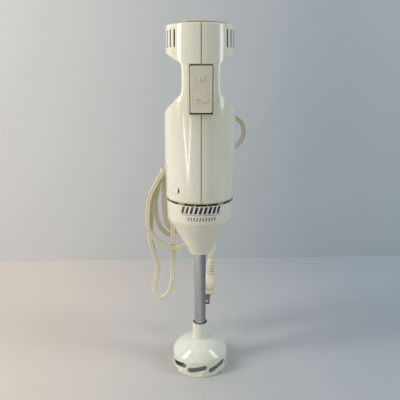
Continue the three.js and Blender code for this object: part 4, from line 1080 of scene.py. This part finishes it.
# ------------------------------------------------------------------ blade guard
# A bell of polished off-white plastic round the blade, with a collar that grips the tube. Food
# moves through eight slanted slots, each with a shallow scoop below it, and three foot notches.
guard_radius = 30.8 * mm
guard_wall = 2 * mm
guard_skirt = 16 * mm
guard_shoulder = 8 * mm
shoulder_turn = radians(42)
shoulder_steps = 14
crown_steps = 20
collar_foot = 33 * mm
collar_radius = 8.7 * mm
collar_top = corners("blade_guard")[1].z
hub_foot = 20.7 * mm
hub_radius = tube_radius + 2.7 * mm
recess = 8.3 * mm


def dome(outer, shoulder, inner, top):
    """From the skirt over a round shoulder and up a flatter, slightly crowned top."""
    turns = [shoulder_turn * i / shoulder_steps for i in range(shoulder_steps + 1)]
    points = [
        (outer - shoulder + shoulder * cos(turn), guard_skirt + shoulder * sin(turn), 0)
        for turn in turns]
    edge, height = points[-1][:2]
    run, rise = edge - inner, top - height
    crown = run / tan(shoulder_turn) - rise
    points.extend(
        (edge - run * share, height + rise * share + crown * share * (1 - share), 0)
        for share in (i / crown_steps for i in range(1, crown_steps + 1)))
    return points


guard_profile = rounded([
    (guard_radius, 0, 0.5 * mm), *dome(guard_radius, guard_shoulder, collar_radius, collar_foot),
    (collar_radius, collar_foot + 1.2 * mm, 0), (collar_radius - 0.25 * mm, collar_top, 0.7 * mm),
    (collar_radius - 1.05 * mm, collar_top, 0.3 * mm),
    (collar_radius - 1.05 * mm, collar_top - recess, 0.2 * mm),
    (socket, collar_top - recess, 0.2 * mm), (socket, hub_foot + guard_wall, 0),
    (4 * mm, hub_foot + guard_wall, 0), (4 * mm, hub_foot, 0.3 * mm), (hub_radius, hub_foot, 0.5 * mm),
    *reversed(dome(
        guard_radius - guard_wall, guard_shoulder - guard_wall, hub_radius, collar_foot - guard_wall)),
    (guard_radius - guard_wall, 0, 0.3 * mm)], 0.5 * mm)
slot_count = 8
slot_half_length = 11 * mm
slot_half_width = 3.1 * mm
slot_slope = radians(14)
slot_rise = 9.7 * mm
slot_turn = radians(-8)
notch_half = 3.25 * mm
notch_height = 1.8 * mm
notch_turns = (43, 163, -63)


def slot_tool(half_length, half_width, front, back, rise):
    """A slanted slot with round ends, cut from the front."""
    outline = []
    for end in (1, -1):
        for i in range(13):
            turn = pi * i / 12 - pi / 2
            x = end * (half_length - half_width + half_width * cos(turn))
            z = end * half_width * sin(turn)
            outline.append((
                x * cos(slot_slope) - z * sin(slot_slope),
                x * sin(slot_slope) + z * cos(slot_slope)))
    return lofted("slot_tool", [[(x, y, z + rise) for x, z in outline] for y in (front, back)])


def scoop_tool():
    """A shallow lens that leaves a scoop under a slot's lower edge."""
    points = bpy.data.meshes.new("scoop_tool")
    shape = bmesh.new()
    bmesh.ops.create_icosphere(shape, subdivisions=4, radius=1)
    shape.to_mesh(points)
    shape.free()
    points.transform(
        Matrix.Translation((1.5 * mm, -guard_radius - 1.9 * mm, slot_rise - 4.6 * mm))
        @ Matrix.Rotation(-slot_slope, 4, "Y") @ Matrix.Diagonal((11 * mm, 3.1 * mm, 3.6 * mm, 1)))
    return points


guard_white = moulded("guard_white", ink(226, 229, 215), ink(219, 218, 198), ink(150, 132, 98), 0.11)
guard_mesh = shaped(
    "guard_shell", turned("guard_shell", guard_profile, 144),
    ("DIFFERENCE", copies_round(
        "guard_slots", slot_tool(
            slot_half_length, slot_half_width, -guard_radius - 4 * mm, -guard_radius + 6 * mm,
            slot_rise),
        slot_count, slot_turn, 2 * pi / slot_count, guard_white)),
    ("DIFFERENCE", copies_round(
        "guard_scoops", scoop_tool(), slot_count, slot_turn, 2 * pi / slot_count, guard_white)),
    *(("DIFFERENCE", block(
        (-notch_half, -guard_radius - 1 * mm, -1 * mm),
        (notch_half, -guard_radius + 3 * mm, notch_height),
        Matrix.Rotation(radians(turn), 4, "Z"))) for turn in notch_turns))
guard_voxel = 0.42 * mm
guard_draft = placed("guard_draft", guard_mesh)
soft_edges = guard_draft.modifiers.new("soft_edges", "REMESH")
soft_edges.mode = "VOXEL"
soft_edges.voxel_size = guard_voxel
settle = guard_draft.modifiers.new("settle", "SMOOTH")
settle.factor = 0.5
settle.iterations = 4
guard_mesh = plain_mesh(guard_draft)
blade_guard = smooth_object("blade_guard_bell", guard_mesh, guard_white, 80)
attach(blade_guard, "frame")
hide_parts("blade_guard")


# ------------------------------------------------------------------ switch bezel
# A cream frame set in the housing round the rocker. Its inside next to the rocker is painted near-black
# as the shade in the gap.
def frame_ring(half_x, half_z, corner, y, count=12):
    """A rounded rectangle of points at one depth, seen from the front."""
    ring = []
    for k, (sx, sz) in enumerate(((1, 1), (-1, 1), (-1, -1), (1, -1))):
        for i in range(count + 1):
            turn = pi / 2 * (k + i / count)
            ring.append((
                sx * (half_x - corner) + corner * cos(turn), y,
                switch_height + sz * (half_z - corner) + corner * sin(turn)))
    return ring


rocker_half_x = (rocker_high.x - rocker_low.x) / 2
rocker_half_z = (rocker_high.z - rocker_low.z) / 2
rocker_gap = 0.5 * mm
end_gap = 0.9 * mm
bezel_half_x = bezel_high.x
bezel_half_z = (bezel_high.z - bezel_low.z) / 2
bezel_front = bezel_low.y
bezel_back = bezel_front + 9 * mm
rocker_pin_low, rocker_pin_high = corners("rocker_pin")
pin_y = (rocker_pin_low.y + rocker_pin_high.y) / 2
pin_radius = (rocker_pin_high.z - rocker_pin_low.z) / 2


def pin_tool():
    """The rocker pin's hole, with room for the pin to turn."""
    ends = [(x, pin_y, switch_height) for x in (-30 * mm, 30 * mm)]
    return rod(pin_radius + 0.3 * mm, *ends)


def bezel_solid(half_x, half_z, corner, edge, front, back):
    """A block with a rounded front edge."""
    rings = []
    for i in range(7):
        turn = pi / 2 * i / 6
        inset = edge * (1 - sin(turn))
        rings.append(frame_ring(half_x - inset, half_z - inset, corner, front + edge * (1 - cos(turn))))
    rings.append(frame_ring(half_x, half_z, corner, back))
    return lofted("bezel_solid", rings)


bezel_cream = moulded("bezel_cream", ink(232, 229, 211), ink(222, 215, 190), ink(104, 86, 60), 0.14)
x_place, y_place, z_place = bezel_cream.axes()
inward = bezel_cream.maths(
    "MAXIMUM", abs(x_place) - rocker_half_x, abs(z_place - switch_height) - rocker_half_z - 0.4 * mm)
# Painted shade: the bezel next to the rocker is painted near-black, standing in for the shade in the gap
# round the rocker.
gap_painted_shade = (1 - bezel_cream.step(inward, 0.5 * mm, 0.75 * mm)) * 0.97
bezel_cream.surface(
    Base_Color=bezel_cream.mix(gap_painted_shade, bezel_cream.body, ink(26, 24, 22)),
    Roughness=bezel_cream.rough + gap_painted_shade * 0.3)
sleeve_x = opening_half_width - seat_gap
sleeve_z = opening_half_height - seat_gap
housing_room = shaped(
    "housing_room", housing_solid(-0.15 * mm),
    ("DIFFERENCE", block(
        (-sleeve_x, -80 * mm, switch_height - sleeve_z), (sleeve_x, 0, switch_height + sleeve_z))))
bezel_mesh = shaped(
    "switch_bezel_frame",
    bezel_solid(bezel_half_x, bezel_half_z, 0.9 * mm, 0.55 * mm, bezel_front, bezel_back),
    ("DIFFERENCE", housing_room),
    ("DIFFERENCE", lofted("rocker_room", [
        frame_ring(
            rocker_half_x + rocker_gap + flare, rocker_half_z + end_gap + flare, 0.7 * mm, y)
        for flare, y in (
            (1.2 * mm, bezel_front - 1 * mm), (0.45 * mm, bezel_front - 0.05 * mm),
            (0.12 * mm, bezel_front + 0.25 * mm), (0, bezel_front + 0.6 * mm),
            (0, bezel_back + 5 * mm))])),
    ("DIFFERENCE", pin_tool()))
switch_bezel = smooth_object("switch_bezel_frame", bezel_mesh, bezel_cream, 30)
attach(switch_bezel, "frame")
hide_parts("switch_bezel")


# ------------------------------------------------------------------ rocker switch
# A slightly dished cream rocker on a steel pin. The words for its two speeds stand proud of its
# face, and two legs behind it work the contact leaf.
rocker_dish = 0.9 * mm
rocker_depth = 8 * mm
pin_depth = 4 * mm
rocker_face = pin_y - pin_depth
side_round = 0.9 * mm


def rocker_profile(inset):
    """The rocker from the side: a shallow V in front and ends that are arcs about the pin."""
    reach = rocker_half_z - inset
    outline = []
    for i in range(25):
        share = i / 24 * 2 - 1
        front = rocker_face + inset + rocker_dish * (1 - abs(share) ** 1.6)
        outline.append((front, share * sqrt(max(0, reach**2 - pin_depth**2))))
    for i in range(1, 7):
        y = rocker_face + rocker_depth * i / 6
        outline.append((y, sqrt(reach**2 - (y - pin_y) ** 2)))
    for i in range(6, 0, -1):
        y = rocker_face + rocker_depth * i / 6
        outline.append((y, -sqrt(reach**2 - (y - pin_y) ** 2)))
    return outline


side_turns = [pi / 2 * i / 5 for i in range(6)]
side_profile = [(side_round * (1 - cos(turn)), side_round * (1 - sin(turn))) for turn in side_turns]
rocker_rings = [(-rocker_half_x + x, inset) for x, inset in side_profile]
rocker_rings.extend((rocker_half_x - x, inset) for x, inset in reversed(side_profile))
rocker_block = lofted("rocker_block", [
    [(x, y, switch_height + z) for y, z in rocker_profile(inset)] for x, inset in rocker_rings])


def raised_word(text, size, height, depth):
    """A word on the rocker's face."""
    curve = bpy.data.curves.new(text, "FONT")
    curve.body = text
    curve.size = size
    curve.align_x = "CENTER"
    curve.align_y = "CENTER"
    curve.extrude = depth
    curve.offset = 0.1 * mm
    curve.resolution_u = 3
    mesh = plain_mesh(placed(text, curve))
    mesh.transform(
        Matrix.Translation((0, rocker_face, height)) @ Matrix.Rotation(pi / 2, 4, "X")
        @ Matrix.Diagonal((0.84, 1.15, 1, 1)))
    shape = bmesh.new()
    shape.from_mesh(mesh)
    bmesh.ops.remove_doubles(shape, verts=shape.verts, dist=1e-6)
    bmesh.ops.recalc_face_normals(shape, faces=shape.faces)
    shape.to_mesh(mesh)
    shape.free()
    return mesh


leg_height = 9 * mm
leg_tools = [block(
    (-4 * mm, rocker_face + rocker_depth - 1 * mm, switch_height + z - 1.5 * mm),
    (4 * mm, rocker_high.y, switch_height + z + 1.5 * mm)) for z in (leg_height, -leg_height)]
word_face = rocker_face + rocker_dish * 0.55
rocker_mesh = shaped(
    "rocker_switch_cap", rocker_block, *(("UNION", tool) for tool in leg_tools),
    ("DIFFERENCE", pin_tool()))
word_size = 5.6 * mm
word_rise = 0.6 * mm
words = [
    raised_word("HI", word_size, switch_height + 9.5 * mm, 1.0 * mm),
    raised_word("LOW", word_size, switch_height - 9.5 * mm, 1.0 * mm)]
for word in words:
    word.transform(Matrix.Translation((0, word_face - rocker_face + 1 * mm - word_rise, 0)))
rocker_mesh = shaped("rocker_switch_cap", rocker_mesh, *(("UNION", word) for word in words))
rocker_cream = moulded("rocker_cream", ink(226, 223, 204), ink(214, 207, 180), ink(104, 86, 60), 0.18)
y_place, z_place = rocker_cream.axes()[1:]
worn_face = rocker_cream.step(rocker_cream.noise(6 * mm, 5, rough=0.7), 0.5, 0.72)
# Painted highlight: the tops of the raised words are painted near-white, as if light caught them.
word_tops_painted_highlight = (1 - rocker_cream.step(y_place, rocker_face + 0.16 * mm, rocker_face + 0.28 * mm)) * (
    1 - rocker_cream.step(abs(z_place - switch_height), 12.4 * mm, 12.8 * mm))
# Painted shade: the rocker's sides behind its face are painted darker, as the shade within the bezel.
below_face_painted_shade = rocker_cream.step(y_place, rocker_face + 2.2 * mm, rocker_face + 4 * mm) * 0.5
rocker_cream.surface(
    Base_Color=rocker_cream.mix(
        below_face_painted_shade, rocker_cream.mix(
            word_tops_painted_highlight * 0.85, rocker_cream.mix(worn_face * 0.12, rocker_cream.body, ink(170, 160, 130)),
            ink(255, 253, 242)),
        ink(84, 72, 56)),
    Roughness=rocker_cream.rough + worn_face * 0.1)
rocker_switch = smooth_object("rocker_switch_cap", rocker_mesh, rocker_cream, 30)
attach(rocker_switch, "rocker")
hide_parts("rocker_switch")


# ------------------------------------------------------------------ stator and armature cores
# Stacks of thin varnished steel sheets, the stator's bolted up between the two brackets. The
# cores are solid, and their finish draws the joints between the sheets.
def stacked_sheets(name, base, varnish, pitch):
    """Varnished steel sheets on edge: dark lines between them, varnish runs, a little rust."""
    finish = Finish(name, Metallic=0.85)
    height = finish.axes()[2]
    saw = finish.maths("PINGPONG", height / (pitch / 2), 1.0)
    joint = 1 - finish.step(saw, 0.1, 0.35)
    runs = finish.step(finish.noise(5 * mm, 4, finish.stretched(1, 1, 0.3)), 0.45, 0.62)
    rust = finish.step(finish.noise(2.2 * mm, 4), 0.64, 0.72)
    body = finish.mix(joint * 0.7, finish.mix(runs * 0.5, base, varnish), ink(18, 18, 20))
    finish.surface(
        Base_Color=finish.mix(rust * 0.7, body, ink(110, 70, 44)),
        Roughness=0.42 + joint * 0.2 + rust * 0.2 - runs * 0.12,
        Normal=finish.bump(1 - joint, 0.05 * mm))
    return finish


sheet_steel = stacked_sheets("sheet_steel", ink(120, 122, 128), ink(92, 74, 52), 0.65 * mm)
coat(sheet_steel, "stator_core", "armature_core")


# ------------------------------------------------------------------ field coils and armature winding
# Enamelled copper wire wound in layers, dipped in varnish.
def wound_wire(name, base, varnish, pitch):
    """Turns of round wire laid side by side, with painted shade between the turns."""
    finish = Finish(name, Metallic=0.8)
    x, y, z = finish.axes()
    round_shaft = finish.maths("SQRT", x * x + y * y)
    turns = finish.maths("PINGPONG", (round_shaft + z) / (pitch / 2), 1.0)
    turns = turns + finish.noise(3 * mm, 3) * 0.25
    # Painted shade: the grooves between the turns are painted dark brown; the crests keep the copper
    # colour.
    crest_vs_painted_shade = finish.step(turns, 0.1, 0.8)
    pools = finish.step(finish.noise(6 * mm, 3), 0.5, 0.7)
    finish.surface(
        Base_Color=finish.mix(
            pools * 0.5, finish.mix(crest_vs_painted_shade, ink(70, 34, 18), base), varnish),
        Roughness=0.3 + pools * 0.15 + (1 - crest_vs_painted_shade) * 0.15,
        Normal=finish.bump(crest_vs_painted_shade, 0.15 * mm))
    return finish


coil_wire = wound_wire("coil_wire", ink(190, 112, 60), ink(112, 60, 30), 0.55 * mm)
armature_wire = wound_wire("armature_wire", ink(198, 120, 66), ink(104, 60, 34), 0.42 * mm)
coat(coil_wire, "field_coil_left", "field_coil_right")
coat(armature_wire, "armature_winding")


# ------------------------------------------------------------------ commutator
# Copper bars round an insulating core, scored by the brushes and darkened where they run.
commutator_low, commutator_high = corners("commutator")
bar_copper = Finish("bar_copper", Metallic=1.0)
x_place, y_place, z_place = bar_copper.axes()
bar_turn = bar_copper.maths("ARCTAN2", y_place, x_place) * (16 / (2 * pi)) + 16.0
bar_saw = bar_copper.maths("PINGPONG", bar_turn, 0.5)
mica = 1 - bar_copper.step(bar_saw, 0.03, 0.07)
track = bar_copper.band(
    z_place, commutator_low.z + 3 * mm, commutator_high.z - 3 * mm, 0.8 * mm)
scores = bar_copper.noise(0.15 * mm, 3, bar_copper.stretched(0.05, 0.05, 1))
bar_copper.surface(
    Base_Color=bar_copper.mix(
        mica, bar_copper.mix(track * 0.6, ink(196, 122, 78), ink(92, 62, 48)), ink(40, 34, 28)),
    Metallic=1 - mica * 0.95,
    Roughness=0.25 + track * 0.2 + scores * 0.15,
    Normal=bar_copper.bump(scores - mica, 0.03 * mm))
coat(bar_copper, "commutator")


# ------------------------------------------------------------------ turned and ground steel
# Motor and drive shafts, bearings and brush springs, ground bright with a film of old oil.
def ground_steel(name, base, film, gloss, stretch):
    """Steel with fine grinding lines along or round it, and clouds of oil film."""
    finish = Finish(name, Metallic=1.0)
    lines = finish.noise(0.12 * mm, 3, finish.stretched(*stretch))
    clouds = finish.step(finish.noise(5 * mm, 4), 0.4, 0.7)
    pits = finish.step(finish.noise(0.8 * mm, 3), 0.68, 0.74)
    finish.surface(
        Base_Color=finish.mix(pits * 0.6, finish.mix(clouds * 0.5, base, film), ink(66, 58, 50)),
        Roughness=gloss + lines * 0.16 + clouds * 0.08 + pits * 0.2,
        Normal=finish.bump(lines - pits * 2, 0.008 * mm))
    return finish


shaft_steel = ground_steel("shaft_steel", ink(182, 184, 188), ink(142, 138, 128), 0.2, (0.1, 0.1, 1))
bearing_steel = ground_steel(
    "bearing_steel", ink(190, 192, 196), ink(120, 118, 112), 0.16, (0.1, 0.1, 1))
spring_steel = ground_steel("spring_steel", ink(150, 150, 152), ink(112, 104, 92), 0.28, (1, 1, 1))
coat(shaft_steel, "drive_shaft", "motor_shaft")
coat(bearing_steel, "upper_bearing", "lower_bearing")
coat(spring_steel, "brush_spring_front", "brush_spring_rear")


# ------------------------------------------------------------------ zinc-plated fasteners
# Housing, clamp and motor screws, the tube nut and the rocker's pin: blue-white zinc plate with
# a spangle, dulled to grey where a tool has held them.
zinc_plate = Finish("zinc_plate", Metallic=1.0)
spangle = zinc_plate.node(
    "ShaderNodeTexVoronoi", {}, {"Vector": zinc_plate.place, "Scale": 1 / (1.4 * mm)}, out="Distance")
dull = zinc_plate.step(zinc_plate.noise(3 * mm, 4), 0.45, 0.65)
zinc_plate.surface(
    Base_Color=zinc_plate.mix(
        dull * 0.7, zinc_plate.mix(spangle, ink(186, 190, 196), ink(160, 166, 176)), ink(120, 118, 112)),
    Roughness=0.28 + dull * 0.2 + spangle * 0.08,
    Normal=zinc_plate.bump(zinc_plate.noise(0.4 * mm), 0.01 * mm))
coat(
    zinc_plate, "housing_screw_front", "housing_screw_rear", "housing_screw_grip",
    "clamp_screw_left", "clamp_screw_right", "motor_bolt_left", "motor_bolt_right", "tube_nut",
    "rocker_pin")


# ------------------------------------------------------------------ blade
# Two short pitched arms of stainless steel on a hub, held by a hexagon nut. Both are ground,
# and their edges are broken so that they catch the light.
blade_steel = Finish("blade_steel", Metallic=1.0)
grinding = blade_steel.noise(0.14 * mm, 3, blade_steel.stretched(1, 0.05, 1))
residue = blade_steel.step(blade_steel.noise(3.4 * mm, 5), 0.56, 0.68)
blade_steel.surface(
    Base_Color=blade_steel.mix(
        residue * 0.45, blade_steel.mix(grinding, ink(188, 190, 194), ink(150, 152, 156)),
        ink(120, 110, 92)),
    Roughness=0.22 + grinding * 0.16 + residue * 0.2,
    Normal=blade_steel.bump(grinding, 0.008 * mm))


def broken_edges(name, node, width, finish):
    """A CAD node with its edges rounded."""
    draft = placed(name, cad_copy(node))
    shape = bmesh.new()
    shape.from_mesh(draft.data)
    bmesh.ops.dissolve_limit(
        shape, angle_limit=radians(1), verts=shape.verts, edges=shape.edges)
    shape.to_mesh(draft.data)
    shape.free()
    edges = draft.modifiers.new("edges", "BEVEL")
    edges.width = width
    edges.segments = 2
    edges.limit_method = "ANGLE"
    edges.angle_limit = radians(50)
    return smooth_object(name, plain_mesh(draft), finish, 35)


for node, width in (("blade", 0.22 * mm), ("blade_nut", 0.2 * mm)):
    piece = broken_edges(node + "_ground", node, width, blade_steel)
    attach(piece, "rotor")
    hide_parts(node)


# ------------------------------------------------------------------ brass contacts and brush holders
# Folded sheet brass round each brush, and the leaf that rocks under the switch.
sheet_brass = rolled_brass("sheet_brass", ink(206, 180, 112), ink(138, 112, 70))
coat(sheet_brass, "brush_holder_front", "brush_holder_rear", "contact_leaf")


# ------------------------------------------------------------------ bushings
# Oil-soaked sintered bronze: open grain, darker where the oil has crept.
sintered_bronze = Finish("sintered_bronze", Metallic=0.9)
pores = sintered_bronze.step(sintered_bronze.noise(0.35 * mm, 3), 0.55, 0.66)
oil = sintered_bronze.step(sintered_bronze.noise(4 * mm, 3), 0.4, 0.65)
sintered_bronze.surface(
    Base_Color=sintered_bronze.mix(
        pores * 0.6, sintered_bronze.mix(oil * 0.6, ink(168, 124, 78), ink(110, 76, 44)),
        ink(48, 34, 22)),
    Roughness=0.5 + pores * 0.25 - oil * 0.18,
    Normal=sintered_bronze.bump(pores, -0.04 * mm))
coat(sintered_bronze, "upper_bushing", "lower_bushing")


# ------------------------------------------------------------------ carbon brushes
# Pressed carbon blocks, matt with a fine grain and patches rubbed grey.
pressed_carbon = Finish("pressed_carbon", Specular_IOR_Level=0.3)
carbon_grain = pressed_carbon.noise(0.25 * mm, 4)
rubbed = pressed_carbon.step(pressed_carbon.noise(2 * mm, 3), 0.5, 0.65)
pressed_carbon.surface(
    Base_Color=pressed_carbon.mix(rubbed * 0.6 + carbon_grain * 0.2, ink(34, 34, 36), ink(84, 84, 88)),
    Roughness=0.62 - rubbed * 0.2,
    Normal=pressed_carbon.bump(carbon_grain, 0.03 * mm))
coat(pressed_carbon, "carbon_brush_front", "carbon_brush_rear")


# ------------------------------------------------------------------ rubber mounts and shaft seal
# Soft black rubber between the motor and the shell, with the bloom that old rubber grows.
def old_rubber(name, base, bloom):
    finish = Finish(name, Specular_IOR_Level=0.35)
    cloud = finish.step(finish.noise(4 * mm, 4), 0.45, 0.68)
    skin = finish.noise(0.3 * mm, 3)
    finish.surface(
        Base_Color=finish.mix(cloud * 0.5, base, bloom),
        Roughness=0.62 + cloud * 0.18,
        Normal=finish.bump(skin, 0.03 * mm))
    return finish


mount_rubber = old_rubber("mount_rubber", ink(34, 34, 36), ink(88, 86, 82))
coat(mount_rubber, "upper_isolator", "lower_isolator_left", "lower_isolator_right", "shaft_seal")


# ------------------------------------------------------------------ black and grey mouldings
# The vent ring, switch base, diode and coupling in black, the two brackets and the cord clamp in
# grey glass-filled nylon, and the fan in plain nylon, with brush dust on them all.
def filled_nylon(name, base, dusty, fibre, gloss):
    """Moulded nylon: short glass fibres in the skin, flow clouds, brush dust."""
    finish = Finish(name, Specular_IOR_Level=0.45)
    fibres = finish.scuffs(0.7 * mm, 3 * mm, 0.6, finish.stretched(1, 0.25, 1))
    dust = finish.step(finish.noise(8 * mm, 5, rough=0.6), 0.48, 0.7)
    grain = finish.noise(0.45 * mm, 3)
    finish.surface(
        Base_Color=finish.mix(dust * 0.5, finish.mix(fibres * 0.4, base, fibre), dusty),
        Roughness=gloss + dust * 0.2 + grain * 0.06,
        Normal=finish.bump(grain + fibres, 0.018 * mm))
    return finish


black_nylon = filled_nylon("black_nylon", ink(26, 26, 28), ink(66, 62, 56), ink(58, 58, 60), 0.42)
grey_nylon = filled_nylon("grey_nylon", ink(104, 104, 102), ink(74, 70, 64), ink(150, 150, 146), 0.48)
fan_nylon = filled_nylon("fan_nylon", ink(222, 218, 202), ink(140, 132, 116), ink(236, 234, 226), 0.36)
coat(black_nylon, "vent_ring", "switch_base", "speed_diode", "shaft_coupling")
coat(grey_nylon, "upper_bracket", "lower_bracket", "cord_clamp")
coat(fan_nylon, "cooling_fan")


# ------------------------------------------------------------------ table and backdrop
# A pale table under a plain wall, both matt, each painted with light: brighter and warmer on the left,
# cooler and darker on the right. A warm window and two narrow tubes on the left, a dimmer cool window
# on the right, a ceiling light and a soft sky light them. The wall stands close behind the object, so a
# camera behind it sees only the wall.
def paint_with_painted_light(name, left, right, reach):
    """Matt paint with painted light: brighter and warmer on one side, darker and cooler on the other."""
    finish = Finish(name, Specular_IOR_Level=0.2)
    # Painted light: this share across X carries the light's falloff from left to right into the colour.
    share = finish.step(finish.axes()[0], -reach, reach)
    mottle = finish.noise(60 * mm, 4) * 0.16
    finish.surface(
        Base_Color=finish.mix(share + mottle - 0.08, left, right),
        Roughness=0.62 + mottle * 0.3)
    return finish


def flat_panel(name, corners, finish):
    mesh = bpy.data.meshes.new(name)
    mesh.from_pydata(corners, [], [(0, 1, 2, 3)])
    mesh.materials.append(finish.material)
    placed(name, mesh)


table_painted_light = paint_with_painted_light("table_painted_light", ink(214, 205, 196), ink(172, 180, 188), 0.3)
wall_painted_light = paint_with_painted_light("wall_painted_light", ink(206, 206, 206), ink(176, 184, 190), 0.3)
wall_place = 0.3
reach = 4.0
flat_panel("table", [
    (-reach, -reach, 0), (reach, -reach, 0), (reach, reach, 0), (-reach, reach, 0)], table_painted_light)
flat_panel("wall", [
    (-reach, wall_place, -0.01), (reach, wall_place, -0.01), (reach, wall_place, reach),
    (-reach, wall_place, reach)], wall_painted_light)


def window(name, place, aim, width, height, watts, colour):
    """A soft box that faces a point."""
    lamp = bpy.data.lights.new(name, "AREA")
    lamp.shape = "RECTANGLE"
    lamp.size = width
    lamp.size_y = height
    lamp.energy = watts
    lamp.color = colour
    holder = placed(name, lamp)
    holder.location = place
    holder.rotation_euler = (Vector(aim) - Vector(place)).to_track_quat("-Z", "Y").to_euler()
    return holder


middle = (0, 0, 0.18)
window("left_window", (-0.96, -0.28, 0.77), (0, 0, 0.3), 0.25, 1.0, 9.2, (1.0, 0.97, 0.92))
window("right_window", (0.95, -0.3, 0.76), (0, 0, 0.3), 0.27, 1.05, 5.4, (0.9, 0.96, 1.0))
window("ceiling", (-0.2, -0.1, 1.5), middle, 1.0, 1.0, 2.4, (1.0, 0.99, 0.97))
for name, foot, top in (
        ("left_tube", (-0.62, -0.72, 0.01), (-0.83, -0.56, 0.24)),
        ("right_tube", (-0.6, -0.74, 0.01), (-0.52, -0.86, 0.24))):
    foot, top = Vector(foot), Vector(top)
    tube = window(
        name, (foot + top) / 2, middle, 0.009, (top - foot).length, 0.65, (1.0, 0.98, 0.94))
    along = (top - foot).normalized()
    away = ((foot + top) / 2 - Vector(middle)).normalized()
    across = along.cross(away).normalized()
    tube.rotation_euler = Matrix((across, along, across.cross(along))).transposed().to_euler()
sky = bpy.data.worlds.new("sky")
sky.use_nodes = True
room = Sheet(sky.node_tree)
heading = room.node("ShaderNodeTexCoord", out="Generated")
ahead, up = (room.node("ShaderNodeSeparateXYZ", {}, {0: heading}, out=i) for i in (1, 2))
glow = 0.27 + ahead * 0.12 + abs(up) * 0.1
sky_light = room.node("ShaderNodeBackground", {}, {"Color": (0.84, 0.88, 0.92, 1), "Strength": glow})
room.node("ShaderNodeOutputWorld", {}, {"Surface": sky_light}, out=None)
bpy.context.scene.world = sky
bpy.context.scene.view_settings.view_transform = "Standard"
